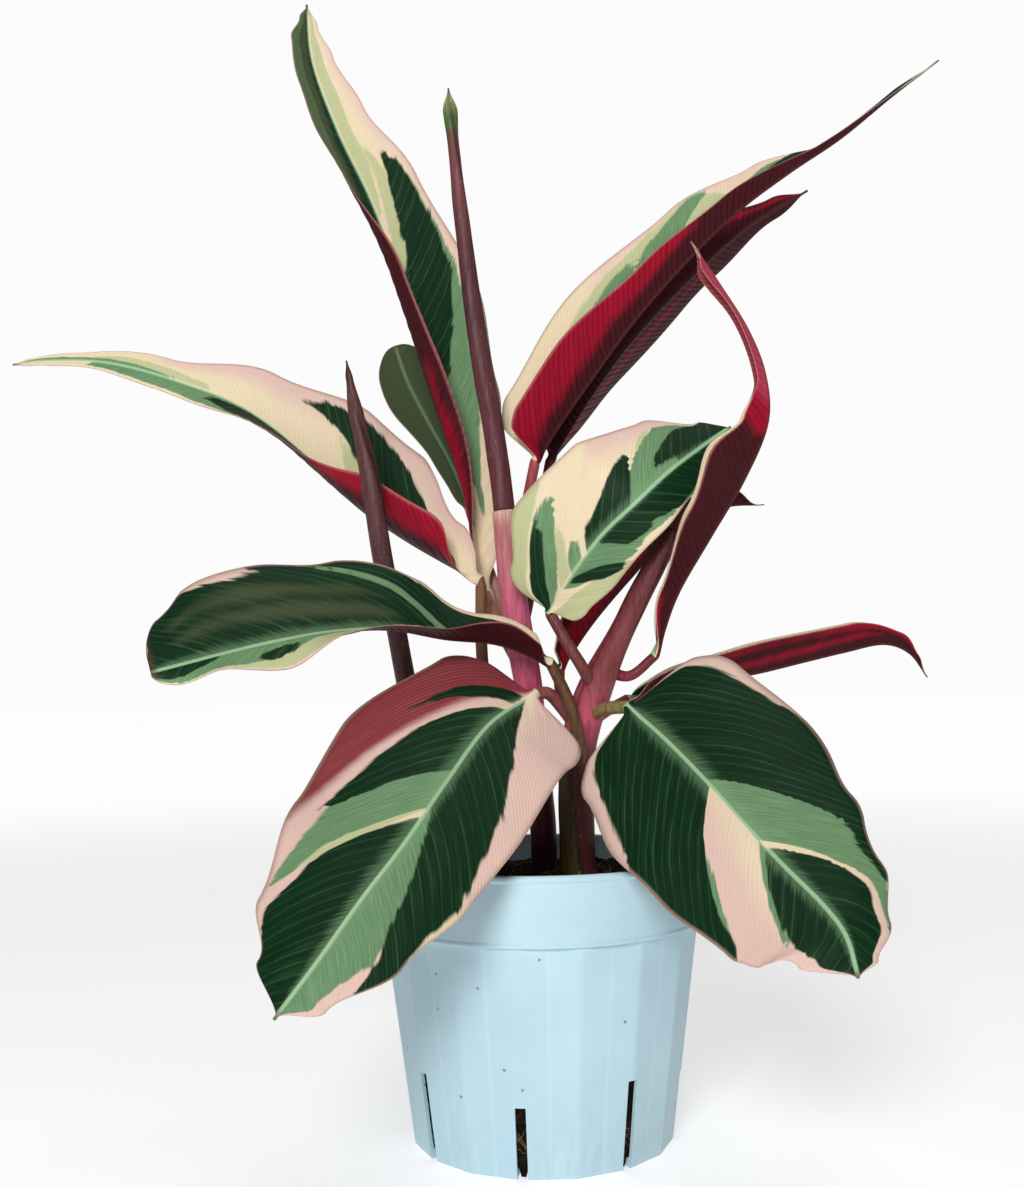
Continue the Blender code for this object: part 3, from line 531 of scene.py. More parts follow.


# Markings of each leaf's halves, drawn where the real leaf has them; the olive patches are partly painted
# shade, an olive darkening where a leaf lies in shade. Each patch runs along the veins:
# (place of the vein, inner edge, outer edge) in hundredths, with 0 on the midrib and 100 on the margin.
# The inner edge is left out where a patch starts under the midrib, and a patch that ends at the rim
# runs off the margin.
underRib, rim = -30, 130
markings = {
    "leaf_tall right": dict(
        dark=[[(31, 20, 30), (35, 0, 50), (40, 72), (45, 80), (50, 16, 84), (56, 30, 86), (61, 42, 80),
            (66, 56, 68)]],
        mid=[[(10, 30, 42), (20, 15, 60), (30, 10, 70), (38, 10, 80), (46, 40, 86), (55, 60, 88),
            (62, 70, 80)]],
        # the second light patch, towards the tip, is partly painted shade: a darker greenish cream where the
        # cream lies in shade
        light=[[(44, 20), (50, 0, 34), (57, 10, 46), (63, 20, 52), (70, 35, 40)], [(60, 10), (68, 30),
            (80, 42), (90, 50), (100, 60)]],
        pink=[[(0, 80, rim), (30, 85, rim), (90, 80, rim), (100, 70, rim)]],
    ),
    "leaf_tall left": dict(
        dark=[[(20, 50), (35, 85), (50, 90), (60, 55), (80, 50), (100, 60)]],
        mid=[[(10, 85), (50, 93), (70, rim), (100, rim)]],
        # partly painted shade: the olive towards the tip
        olive_and_painted_shade=[[(55, 50, rim), (65, 35, rim), (100, 10, rim)]],
        glow=[[(-30, 35, 80), (15, 35, 85), (30, 60, 75)]],
    ),
    "leaf_tailed left": dict(
        mid=[[(16, 40), (21, 62), (26, 0, 72), (30, 35, 70)], [(28, 30), (33, 72), (39, 30, 86),
            (45, 60, 96), (48, 85, 90)], [(50, 20), (60, 75), (100, rim)]],
        light=[[(6, 30), (14, 72), (28, 86), (46, 10, 100), (55, 40)]],
        dark=[[(60, 40), (72, rim), (100, rim)]],
        pink=[[(20, 85, rim), (70, 80, rim)]],
    ),
    "leaf_tailed right": dict(
        mid=[[(10, 70), (30, 80), (100, rim)]],
        dark=[[(16, 50), (30, 0, 70), (50, 100), (100, rim)]],
        glow=[[(-30, 10, rim), (0, 20, rim), (20, 30, rim), (35, 42, rim), (45, 70, rim)]],
    ),
    "leaf_dark left": dict(
        dark=[[(-20, 70), (30, 85), (42, 40)], [(60, 50), (100, rim)]],
        mid=[[(30, 80), (55, 0, 90), (70, 90)]],
        pink=[[(-20, 80, rim), (60, 80, rim)]],
        glow=[[(-20, 25, 50), (30, 30, 48), (60, 30, 40)]],
    ),
    "leaf_dark right": dict(
        dark=[[(-20, 80), (25, 90), (35, 30)], [(55, 0, 70), (100, rim)]],
        light=[[(35, 40), (50, 0, 80), (60, 20, 40)]],
        glow=[[(-20, 60, 85), (30, 62, 80), (100, 50, 80)]],
    ),
    "leaf_long right": dict(
        dark=[[(5, 20), (9, 60), (14, 82), (20, 88), (25, 28, 86), (30, 50, 84), (36, 62, 78),
            (41, 70, 73)]],
        light=[[(20, 30), (27, 0, 40), (32, 30, 50)], [(62, 20), (70, 0, 50), (78, 10, 60), (86, 40)]],
        mid=[[(70, 15), (85, 35), (100, 60)]],
        pink=[[(-20, 70, rim), (20, 75, rim), (45, 55, rim), (70, 70, rim)]],
    ),
    "leaf_long left": dict(
        mid=[[(20, 80), (50, 90), (62, 85), (85, 70)]],
        dark=[[(30, 10, 70), (42, 10, 80), (52, 10, 80), (60, 20, 50)]],
        glow=[[(-40, 50, rim), (0, 45, rim), (15, 50, rim), (30, 75, rim)]],
    ),
    "leaf_back left": dict(
        dark=[[(-40, 90), (100, rim)]],
        # painted shade: olive over the whole blade, both halves, hiding its pale midrib
        olive_and_painted_shade=[[(-40, 95), (100, rim)]],
    ),
    "leaf_left right": dict(
        dark=[[(-8, 40), (5, 72), (12, 86), (20, 99), (25.4, rim)], [(28.4, rim), (33, rim), (38, 92),
            (45, 87), (55, 90), (62, 120), (86, rim), (92, 80), (100, 70)]],
        mid=[[(24, 10, 100), (30, 10, 100)], [(36, 15), (70, 12)]],
        light=[[(25.5, 30, 62), (27, 20, 98), (28.5, 50, 100)]],
        olive_and_painted_shade=[[(36, 20, 30), (50, 16, 42), (70, 30, 46), (86, 30, 36)], [(34, 50, 60), (50, 52, 74),
            (66, 56, 70), (80, 60, 66)]],
        pink=[[(30, 80, rim), (62, 80, rim)], [(84, 70, rim), (100, 40, rim)]],
    ),
    "leaf_left left": dict(
        light=[[(30, 85), (50, 90), (70, 95), (100, 93)]],
        mid=[[(50, 20), (60, 0, 30), (66, 60), (75, 80), (88, 90), (100, 90)]],
        dark=[[(64, 30, 50), (69, 25, 70), (73, 40, 60)], [(84, 10, 30), (92, 70), (100, 80)]],
        pink=[[(30, 90, rim), (85, 95, rim)]],
    ),
    "leaf_middle left": dict(
        dark=[[(-5, 5, 50), (-3, 0, 70), (1, 5, 70), (3.5, 20, 50)], [(26, 20), (30, 24), (35.5, 42),
            (40, 55), (46, 62), (48, -10, 30)], [(60, 15, 30), (70, 15, 60), (80, 85), (100, rim)]],
        mid=[[(-3, 0, 72), (4, 0, 76), (9, 10, 72), (11, 30, 40)], [(17, -10, 15), (20, 25), (23, 10)],
            [(30, 20), (48, 30), (52, 60), (58, 78), (72, 80), (85, 90), (100, rim)]],
        light=[[(-30, 50, rim), (-12, 60, rim), (-2, 72, 95)], [(50, 30, 70), (56, 50, 85)], [(10, 0, 50),
            (16, 0, 35)]],
        pink=[[(20, 75, rim), (80, 70, rim)]],
    ),
    "leaf_middle right": dict(
        dark=[[(12, 10, 70), (15, 5, 90), (19, 40, 86)], [(30, 15, 60), (36, 75), (42, 60), (50, 0, 95),
            (70, 90), (100, rim)]],
        mid=[[(10, 30), (17, 75), (24, 88), (34, 80), (42, 85), (55, 100), (70, rim), (100, rim)]],
        light=[[(-10, 0, rim), (8, 40, rim), (20, 80, rim)]],
    ),
    "leaf_furled left": dict(
        dark=[[(-20, 80), (45, 80)]],
        rose=[[(58, rim), (100, rim)]],
        glow=[[(-20, 30, rim), (20, 60, rim)], [(50, 40, rim), (56, rim), (100, rim)]],
    ),
    "leaf_furled right": dict(
        mid=[[(-20, 80), (45, 80)]],
        rose=[[(58, rim), (100, rim)]],
        glow=[[(-20, 50, rim), (10, 70, rim)], [(50, 40, rim), (56, rim), (100, rim)]],
    ),
    "leaf_under left": dict(
        dark=[[(-30, 80), (70, 80)]],
        glow=[[(-30, 50, rim), (40, 60, rim)]],
    ),
    "leaf_under right": dict(
        dark=[[(-30, 80), (70, 80)]],
        glow=[[(-30, 70), (50, 20, 60)]],
    ),
    "leaf_right left": dict(
        dark=[[(-30, 85), (100, 90)]],
        glow=[[(-30, 40, rim), (30, 55, 90), (100, 50, rim)]],
    ),
    "leaf_right right": dict(
        mid=[[(-30, 85), (100, 90)]],
        dark=[[(10, 0, 70), (50, 80)]],
        glow=[[(-30, 5, 35), (20, 15, 40), (60, 30, 55), (80, 45, 60)], [(10, 75, 90), (50, 80, 95),
            (90, 70, rim)]],
    ),
    "leaf_front_right left": dict(
        dark=[[(-40, 80), (-20, 84), (-10, 95), (-2, rim), (34, rim), (37, 40, rim), (42, 78, rim),
            (55, 84, rim), (64, 93, 100)], [(62, 5), (66, 50), (70, 66), (80, 74), (100, 72)]],
        mid=[[(30, 20), (34, 90), (48, 95), (57, 90), (60, 10, 90), (65, 62, 98), (72, 82, 105),
            (80, 92, 105)]],
        pink=[[(-40, 75, rim), (0, 85, rim)], [(58, 60, rim), (100, 80, rim)]],
    ),
    "leaf_front_right right": dict(
        dark=[[(-25, 70), (-10, 85), (3, 90), (10, rim), (36, rim), (39, 30, rim), (44, 72, rim),
            (50, 88, 110)], [(62, 5), (67, 40), (74, 56), (82, 66), (100, 70)]],
        mid=[[(39, 40, 75), (44, 50, 92), (48, 75, 95)], [(59, 0), (65, 42), (72, 20, 66)]],
        pink=[[(-30, 60, rim), (30, 80, rim)], [(38, 10, 80), (50, 20, rim), (60, 40, rim),
            (100, 60, rim)]],
    ),
    "leaf_front_left right": dict(
        dark=[[(1.5, 30, 55), (3, 6, 64), (5.5, 4, 60), (7, 5, 30)], [(10, 10), (13.5, 48), (20, 60),
            (26, 74), (31, 77), (33.5, 10)], [(48, 20), (52, 60), (60, 86), (70, 100), (80, rim),
            (100, rim)]],
        mid=[[(30, 70), (36, 74), (44, 84), (47, 50, 92), (52, 75, 93)]],
        light=[[(44, -10, 30), (47, 10, 84), (52, 50, 90)]],
        rose=[[(-40, rim), (2, 10, rim), (10, 45, 125), (18, 80, 112), (26, 100, 104)]],
        pink=[[(-40, 160), (30, 20, 160), (100, 50, 160)]],
    ),
    "leaf_front_left left": dict(
        dark=[[(3, 0), (8, 28), (14, 50), (20, 64), (30, 80), (40, 90), (45, 5, 93), (55, 28, 96),
            (66, 55, 110), (74, 78, 120), (78, 95, 110)]],
        mid=[[(38, 0), (46, 35), (60, 50), (70, 66), (82, 66), (100, 80)]],
        light=[[(66, -10, 10), (72, 0, 22), (80, 5, 30), (86, 10, 20)]],
        pink=[[(-30, 0, rim), (10, 30, rim), (40, 80, rim)], [(68, 55, rim), (100, 50, rim)]],
    ),
}
for half in markings.values():
    for patches in half.values():
        for patch in patches:
            full = [stop if len(stop) == 3 else (stop[0], underRib, stop[1]) for stop in patch]
            patch[:] = [tuple(value / 100 for value in stop) for stop in full]

blade = dict(
    half=18,  # columns in each half
    bunch=1.5,  # how closely the columns gather at the midrib
    station=1.4,  # between rings along the blade
    gather=0.6,  # how much closer the rings lie at the blade's ends
    lean=(0.9, 0.012),  # how a vein leaves the midrib and bows towards the tip
    thick=0.45, rib=1.0, ribWidth=1.1, groove=0.25,
    pleat=0.16, pleatPitch=6.5, pleatFrom=6,  # full height this far from the midrib
    ruffle=0.7, ruffleRate=7, ruffleWidth=12,  # full height in a half this wide
    lobeFade=6, neck=0.05, roomWidth=6.0, leastWidth=0.5,
    stalkStations=30, stalkFlare=0.25,
    measures=400,  # steps in which the midrib's length is taken
    dryFrom=0.965,  # share where the tip starts to dry
    seedShift=300.0, sideShift=150.0,  # so that no two halves have the same streaks
    outside=-0.6,  # a patch's field far away from it
    openFrom=-0.09, openTo=0.99, endSlope=6.0,  # patches that reach the blade's ends stay open there
)
tones = ("pink", "rose", "light", "mid", "dark", "olive_and_painted_shade", "glow")


def patchField(patches, place, across):  # above 0 inside a patch, below it outside
    best = blade["outside"]
    for stops in patches:
        first, last = stops[0][0], stops[-1][0]
        held = min(max(place, first), last)
        field = min(across - straight(stops, held, 1), straight(stops, held, 2) - across)
        if first > blade["openFrom"]:
            field = min(field, (place - first) * blade["endSlope"])
        if last < blade["openTo"]:
            field = min(field, (last - place) * blade["endSlope"])
        best = max(best, field)
    return best


def bladeFrame(leaf, share):
    point, along = curvePoint(leaf["spine"], share), curveWay(leaf["spine"], share)
    face = Vector([between([(s, way[k]) for s, way in leaf["face"]], share) for k in range(3)])
    up = (face - along * face.dot(along)).normalized()
    return point, along, along.cross(up), up


def halfShape(leaf, side, share):  # width, fold and curl of a half at a share of the length
    name = "Right" if side > 0 else "Left"
    width = between(leaf[name.lower()], share) * roundEnd(share, leaf["foot"])
    if "tip" in leaf:
        width *= roundEnd(1 - share, leaf["tip"])
    width = max(width, blade["leastWidth"])
    room = smooth(width / blade["roomWidth"])  # a narrow blade lies flatter
    fold = math.radians(between(leaf["fold" + name], share)) * room
    return width, fold, math.radians(between(leaf["curl" + name], share)) * room


def waveAt(leaf, share, side, out, away, width, vein, seed):  # how far the blade rises there
    height, count = leaf.get("wave", (0, 1))
    pleat = math.sin(2 * math.pi * vein / blade["pleatPitch"])
    pleat *= smooth(away / blade["pleatFrom"]) * (1 - out**6)
    ruffle = noise.noise(Vector((share * blade["ruffleRate"], side * 3.0, seed)))
    rise = height * math.sin(2 * math.pi * count * share + side * out) * out**2 + blade["pleat"] * pleat
    return rise + blade["ruffle"] * ruffle * out**2 * smooth(width / blade["ruffleWidth"])


def bladeRing(leaf, share, along, length, seed):  # points of one ring, and what its materials read
    point, way, right, up = bladeFrame(leaf, share)
    shapes = {side: halfShape(leaf, side, share) for side in (-1, 1)}
    upper, lower, notes = [], [], []
    count = blade["half"]
    for k in range(-count, count + 1):
        side = 1 if k > 0 else -1
        out = (abs(k) / count) ** blade["bunch"]
        width, fold, curl = shapes[side]
        bend = curl * out
        slope = fold + bend / 2
        spot = point + width * out * (math.cos(slope) * side * right + math.sin(slope) * up)
        lobe = leaf.get("lobes", (0, 0))[side > 0]  # how far the blade reaches back past its foot
        spot = spot - way * lobe * out**2 * (1 - share) ** blade["lobeFade"]
        tilt = (fold + bend) * min(1.0, out * 3)
        normal = math.cos(tilt) * up - side * math.sin(tilt) * right if k else up
        away = width * out
        vein = along - blade["lean"][0] * away - blade["lean"][1] * away**2
        spot = spot + normal * waveAt(leaf, share, side, out, away, width, vein, seed)
        ridge = math.exp(-((away / blade["ribWidth"]) ** 2))
        thick = blade["thick"] / 2 * (1 - 0.5 * out**8)
        upper.append(spot + normal * (thick - blade["groove"] * ridge))
        lower.append(spot - normal * (thick + blade["rib"] * (1 - 0.7 * share) * ridge))
        notes.append((side, out, away, vein, vein / length))
    return upper + lower[::-1], notes + notes[::-1]


def roundRing(centre, right, up, radius, count):
    half = count // 2
    ring = []
    for i in range(half):
        turn = math.pi * (1 - (i + 0.5) / half)
        ring.append(centre + radius * (math.cos(turn) * right + math.sin(turn) * up))
    return ring + [2 * centre - p for p in ring]


def makeLeaf(name, leaf, seed, materials):
    count = 2 * (2 * blade["half"] + 1)
    halves = {-1: markings[name + " left"], 1: markings.get(name + " right", markings[name + " left"])}
    values = {key: [] for key in ("vein", "across", "sharing", "dry", *tones, "paint")}
    low, high = leaf["paint"]
    foot, along, right, up = bladeFrame(leaf, 0.0)
    stalk = leaf["stalk"] + [tuple(foot)]
    rings = []
    for i in range(blade["stalkStations"], -1, -1):
        share = i / (blade["stalkStations"] + 0.5)
        way = curveWay(stalk, share)
        turn = along.rotation_difference(way)
        right, up, along = turn @ right, turn @ up, way
        radius = mix(*leaf["stalkRadius"], share) * (1 + blade["stalkFlare"] * (1 - share) ** 4)
        rings.append(roundRing(curvePoint(stalk, share), right, up, radius, count))
    rings.reverse()
    for i in range(len(rings)):
        colour = tuple(mix(a, b, i / blade["stalkStations"]) for a, b in zip(low, high))
        for key, column in values.items():
            rest = blade["outside"] if key in tones else 0.0
            column.extend([colour if key == "paint" else rest] * count)
    steps = blade["measures"]
    line = [curvePoint(leaf["spine"], i / steps) for i in range(steps + 1)]
    runs = [0.0]
    for a, b in zip(line, line[1:]):
        runs.append(runs[-1] + (b - a).length)
    length = runs[-1]
    stations = int(length / blade["station"])
    for i in range(stations + 1):
        t = i / stations
        share = t - math.sin(2 * math.pi * t) / (2 * math.pi) * blade["gather"]
        ring, notes = bladeRing(leaf, share, runs[round(share * steps)], length, seed)
        flat = smooth(share / blade["neck"])
        if flat < 1:
            point, _, right, up = bladeFrame(leaf, share)
            stem = roundRing(point, right, up, leaf["stalkRadius"][1], count)
            ring = [mix(a, b, flat) for a, b in zip(stem, ring)]
        rings.append(ring)
        for side, out, away, vein, place in notes:
            values["vein"].append(vein + seed * blade["seedShift"] + (side > 0) * blade["sideShift"])
            values["across"].append(away * side)
            values["sharing"].append(float(out))
            values["dry"].append(smooth((share - blade["dryFrom"]) / (1 - blade["dryFrom"])))
            values["paint"].append(high)
            for tone in tones:
                values[tone].append(patchField(halves[side].get(tone, ()), place, out))
    bare = blade["stalkStations"] + 1
    return skin(
        name.replace("leaf_", "foliage_"), rings, values, materials,
        lambda i, j: 2 if i < bare else int(j >= count // 2),
    )


skins = [bladeTop(), bladeUnder(), stemSkin()]
slots = {entry["node"]: entry["material_slot"] for entry in frame["record"]["subparts"]}
for seed, (name, leaf) in enumerate(leaves.items()):
    keep(makeLeaf(name, leaf, seed, skins), slots[name], name)
print("leaves made")


# Stems: rolled sheaths, each with a step where its edge laps over

shoots = {
    "stem_main": dict(
        path=[(15, 2, 76), (14, 0, 101), (14, -3, 130), (19, -8, 154), (34, -14, 186), (50, -18, 216)],
        radius=[(0, 6.6), (0.4, 6.1), (0.6, 6.4), (0.8, 4.0), (1, 3.4)],
        laps=3, turns=0.35,
        paint=[
            (0, (0.020, 0.012, 0.006)), (0.25, (0.045, 0.018, 0.012)), (0.45, (0.14, 0.035, 0.035)),
            (0.57, (0.50, 0.085, 0.14)), (0.68, (0.22, 0.045, 0.050)), (1, (0.09, 0.018, 0.022)),
        ],
        tints=[(0.075, 0.055, 0.012), (0.10, 0.018, 0.022), (0.016, 0.010, 0.006)],
    ),
    "stem_pink": dict(
        path=[(2, 10, 76), (2, 9, 100), (0, 7, 130), (-3, 2, 160), (-8, 0, 193), (-11, 0, 226)],
        radius=[(0, 4.7), (0.5, 4.7), (0.7, 5.1), (1, 4.3)],
        laps=1, turns=0.4,
        paint=[
            (0, (0.030, 0.015, 0.008)), (0.3, (0.14, 0.03, 0.035)), (0.5, (0.52, 0.06, 0.15)),
            (0.75, (0.60, 0.12, 0.20)), (0.96, (0.56, 0.20, 0.21)), (1, (0.72, 0.46, 0.38)),
        ],
    ),
    "spear_tall": dict(
        path=[(-11, 0, 226.3), (-14, 0, 253), (-20, 0, 291), (-25, 2, 334), (-28, 2, 366), (-30, 2, 390)],
        radius=[(0, 3.9), (0.3, 3.7), (0.6, 2.8), (0.82, 2.0), (0.92, 2.6), (1, 0.3)],
        laps=1, turns=0.8,
        paint=[
            (0, (0.13, 0.032, 0.040)), (0.5, (0.085, 0.026, 0.032)), (0.76, (0.16, 0.045, 0.055)),
            (0.84, (0.12, 0.06, 0.04)), (0.88, (0.06, 0.13, 0.03)), (0.97, (0.30, 0.30, 0.13)),
            (1, (0.05, 0.06, 0.02)),
        ],
    ),
    "spear_left": dict(
        path=[
            (-36, 8, 76), (-41, 5, 118), (-50, 1, 172), (-56, -3, 208), (-61, -4, 242), (-66, -4, 266),
            (-69, -4, 283),
        ],
        radius=[(0, 2.8), (0.3, 3.4), (0.6, 3.6), (0.8, 2.6), (0.93, 1.2), (1, 0.3)],
        laps=1, turns=0.9,
        paint=[
            (0, (0.05, 0.02, 0.015)), (0.4, (0.085, 0.028, 0.032)), (0.9, (0.10, 0.035, 0.035)),
            (1, (0.015, 0.010, 0.008)),
        ],
    ),
}
stem = dict(
    stations=150, around=60, lap=0.45, lapEdge=0.9,  # share of a lap over which it rises
    # crease values: how dark the painted shade is in the crease where a lap's edge lies over the one beneath,
    # and where in the lap it starts and ends
    bulge=0.25, paintedCreaseShade=0.55, creaseFrom=0.93, creaseTo=0.04,
    tinted=0.75, tintFrom=0.36, tintFade=0.15,
)


def makeStem(name, shoot, material):
    rings, paint = [], []
    way = curveWay(shoot["path"], 0.0)
    right = way.cross(Vector((0, 1, 0))).normalized()
    for i in range(stem["stations"] + 1):
        share = i / stem["stations"]
        centre, now = curvePoint(shoot["path"], share), curveWay(shoot["path"], share)
        right = way.rotation_difference(now) @ right
        way = now
        up = way.cross(right).normalized()
        radius = between(shoot["radius"], share)
        colour = tuple(between([(s, c[k]) for s, c in shoot["paint"]], share) for k in range(3))
        ring = []
        for j in range(stem["around"]):
            angle = 2 * math.pi * j / stem["around"]
            lap = angle / (2 * math.pi) * shoot["laps"] + share * shoot["turns"] * shoot["laps"]
            turn, edge = lap % 1.0, stem["lapEdge"]
            step = turn if turn < edge else (1 - turn) * edge / (1 - edge)
            lapped = stem["lap"] * step * smooth(radius / 2)
            bulge = stem["bulge"] * noise.noise(Vector((math.cos(angle), math.sin(angle), share * 9)))
            reach = radius + lapped + bulge * smooth(radius / 3)
            ring.append(centre + reach * (math.cos(angle) * right + math.sin(angle) * up))
            # painted shade: darker in the crease where a lap's edge lies over the one beneath
            dim = stem["paintedCreaseShade"] if turn > stem["creaseFrom"] or turn < stem["creaseTo"] else 1.0
            tints = shoot.get("tints", [colour])  # each lap's own colour, near the foot
            tint = tints[int(lap) % len(tints)]
            tinted = stem["tinted"] * (1 - smooth((share - stem["tintFrom"]) / stem["tintFade"]))
            paint.append(tuple(mix(c, t, tinted) * dim for c, t in zip(colour, tint)))
        rings.append(ring)
    name = name.replace("stem", "shoot").replace("spear", "roll")
    return skin(name, rings, {"paint": paint}, [material])


for name, shoot in shoots.items():
    keep(makeStem(name, shoot, skins[2]), slots[name], name)
print("stems made")


# Pot: sixteen flat facets with rounded ridges under a smooth band

pot = dict(
    facets=16, turn=1.5, footRadius=46.7, shoulderRadius=57.2, shoulderHeight=77.6,
    rimRadius=60.0, height=100.0, wall=1.3, floor=3.0, lip=0.7, roll=2.4, ridge=0.08, softness=0.05,
    steps=384, slots=8, slotWidth=3.6, slotHeights=(24.0, 30.0), slotCorner=0.35, slotInner=34.0, bodyRows=24,
)


def facetRadius(ridgeRadius, angle):  # radius of a polygon whose ridges are rounded off
    half = math.pi / pot["facets"]
    inside = ((angle + half) % (2 * half)) - half
    flat = ridgeRadius * math.cos(half) / math.cos(inside)
    limit = ridgeRadius - pot["ridge"]
    soft = pot["softness"]
    return limit - soft * math.log(1 + math.exp((limit - flat) / soft))


def bodyRadius(height):
    return mix(pot["footRadius"], pot["shoulderRadius"], height / pot["shoulderHeight"])


def slotAngle(i):  # of the slot's middle, from the front
    return math.radians(pot["turn"]) + (i - 0.25) * 2 * math.pi / pot["slots"]


def polar(reach, angle, height):
    return Vector((reach * math.cos(angle), reach * math.sin(angle), height))


def potProfile():  # (radius, height, share of facet) from under the middle, out, up and back inside
    low, shoulder = pot["shoulderRadius"] + pot["lip"], pot["shoulderHeight"]
    foot, rim, top, wall = pot["footRadius"], pot["rimRadius"], pot["height"], pot["wall"]
    roll, floor = top - pot["roll"], pot["floor"]

    def bodyAt(height, inset=0.0):
        return (bodyRadius(height) - inset, height, 1)

    rows = [(0.01, 0.6, 0), (20, 0.6, 0), (34, 0.6, 0.5), (foot - 3.2, 0.5, 1), (foot - 2.2, 0.0, 1)]
    rows += [(foot - 0.7, 0.0, 1), (foot - 0.25, 0.12, 1), (foot + 0.02, 0.5, 1)]
    rows += [bodyAt(mix(1.2, shoulder - 1.3, i / pot["bodyRows"])) for i in range(pot["bodyRows"] + 1)]
    rows += [
        (low - 0.75, shoulder - 1.25, 0.5), (low - 0.3, shoulder - 1.2, 0), (low + 0.10, shoulder - 0.95, 0),
        (low + 0.22, shoulder - 0.45, 0), (low + 0.16, shoulder + 0.1, 0), (low, shoulder + 0.45, 0),
    ]
    band = (0, 0.25, 0.5, 0.75, 1)
    rows += [(mix(low, rim - 0.7, t), mix(shoulder + 0.6, roll - 0.25, t), 0) for t in band]
    rows += [
        (rim - 0.45, roll, 0), (rim - 0.1, roll + 0.3, 0), (rim, roll + 0.9, 0), (rim - 0.05, roll + 1.6, 0),
        (rim - 0.35, top - 0.25, 0), (rim - 0.8, top, 0), (rim - 1.35, top - 0.05, 0),
        (rim - 1.8, top - 0.5, 0), (rim - 0.7 - wall, roll - 0.5, 0), (low - wall, shoulder + 3, 0),
        (low - wall - 1.2, shoulder + 1.2, 0.5),
    ]
    rows += [bodyAt(shoulder * t, wall) for t in (0.97, 0.7, 0.4, 0.15)]
    rows += [bodyAt(floor + 0.6, wall + 0.1), (foot - wall - 1.0, floor, 1), (30, floor, 0), (0.01, floor, 0)]
    return rows


def potPlastic():
    shade = Shade("potPlastic", Roughness=0.40, Specular_IOR_Level=0.28)
    place = shade.place()
    broad = shade.noise(place, 22.0, 4.0)
    grain = shade.noise(place, 900.0, 2.0)
    scuffs = shade.noise(shade.scaled(place, (420, 420, 70)), 1.0, 5.0, 0.7)
    specks = shade.node("TexVoronoi", None, {"Vector": place, "Scale": 150.0})
    chosen = shade.node("TexVoronoi", None, {"Vector": place, "Scale": 150.0}, out=1)
    lucky = shade.node("SeparateColor", None, {"Color": chosen})
    dots = specks.ramp(0.11, 0.05) * lucky.ramp(0.60, 0.62) * broad.ramp(0.38, 0.46)
    height = shade.node("SeparateXYZ", None, {"Vector": place}, out=2)
    dust = (broad * 0.6 + scuffs * 0.6).ramp(0.52, 0.85)
    base = shade.layered(
        shade.blend((broad - 0.3).ramp(0.0, 0.5), (0.44, 0.63, 0.715), (0.515, 0.715, 0.79)),
        (scuffs.ramp(0.58, 0.78) * 0.22, (0.68, 0.82, 0.87)),
        (dust * height.ramp(0.045, 0.0) * 0.4, (0.36, 0.40, 0.38)),
        # painted highlight: a paler line along each facet's ridge
        (shade.attribute("ridge") * 0.16, (0.76, 0.90, 0.95)),
        (dots * 0.8, (0.08, 0.09, 0.09)),
    )
    shade.link(Base_Color=base, Roughness=0.34 + broad * 0.12 + scuffs * 0.14)
    shade.bump(grain * 0.35 + broad * 0.5, 0.35, 0.00025)
    return shade.material


def slotCutter(angle, height):  # upright slot, its two upper corners a little rounded
    width, depth = pot["slotWidth"] / 2, pot["shoulderRadius"] + 5 - pot["slotInner"]
    corner = pot["slotCorner"]
    outline = [(-width, -3.0), (width, -3.0)]
    for side, start in ((1, 0.0), (-1, math.pi / 2)):
        for turn in (start + math.pi / 8 * k for k in range(5)):
            x, z = side * (width - corner), height - corner
            outline.append((x + corner * math.cos(turn), z + corner * math.sin(turn)))
    shape = bmesh.new()
    ends = []
    for away in (pot["slotInner"], pot["slotInner"] + depth):
        out = Vector((math.sin(angle), -math.cos(angle), 0))
        side = Vector((math.cos(angle), math.sin(angle), 0))
        ends.append([shape.verts.new((out * away + side * x + Vector((0, 0, z))) * mm) for x, z in outline])
    count = len(outline)
    for i in range(count):
        shape.faces.new((ends[0][i], ends[0][(i + 1) % count], ends[1][(i + 1) % count], ends[1][i]))
    shape.faces.new(ends[0][::-1])
    shape.faces.new(ends[1])
    bmesh.ops.recalc_face_normals(shape, faces=shape.faces[:])
    return addShape("slotCutter", shape)


def makePot():
    turned = math.radians(pot["turn"])
    rings, ridges = [], []
    for radius, height, faceted in potProfile():
        ring = []
        for k in range(pot["steps"]):
            # marks the ridge columns for the painted highlight along them
            ridges.append(float(faceted == 1 and k % (pot["steps"] // pot["facets"]) == 0))
            angle = turned + 2 * math.pi * k / pot["steps"]
            reach = mix(radius, facetRadius(radius, angle - turned), faceted) if radius > 5 else radius
            ring.append(polar(reach, angle, height))
        rings.append(ring)
    piece = skin("growPot", rings, {"ridge": ridges}, [potPlastic()])
    heights = pot["slotHeights"]
    cutters = [slotCutter(slotAngle(i), heights[i % len(heights)]) for i in range(pot["slots"])]
    for cutter in cutters:
        step = piece.modifiers.new("slot", "BOOLEAN")
        step.operation, step.object = "DIFFERENCE", cutter
    mesh = applyModifiers(piece)
    for cutter in cutters:
        bpy.data.objects.remove(cutter)
    mesh.set_sharp_from_angle(angle=math.radians(40))
    return piece


keep(makePot(), "pot", "pot")
print("pot made")


# Soil: a lumpy plug of peat, with loose crumbs and root fibres on it

soil = dict(
    height=91.0, edge=56.0, bump=2.2, fineBump=0.9, rings=60, around=360, sideRows=26,
    heap=1.6, heapAt=12, heapSpread=260, coarseRate=0.055, fineRate=0.4,  # raised round the main shoot
    crumbs=1500, crumbSmall=0.5, crumbLarge=1.9, sideRough=0.9, fibres=90, slotFibres=5, seed=11, lug=0.5,
)


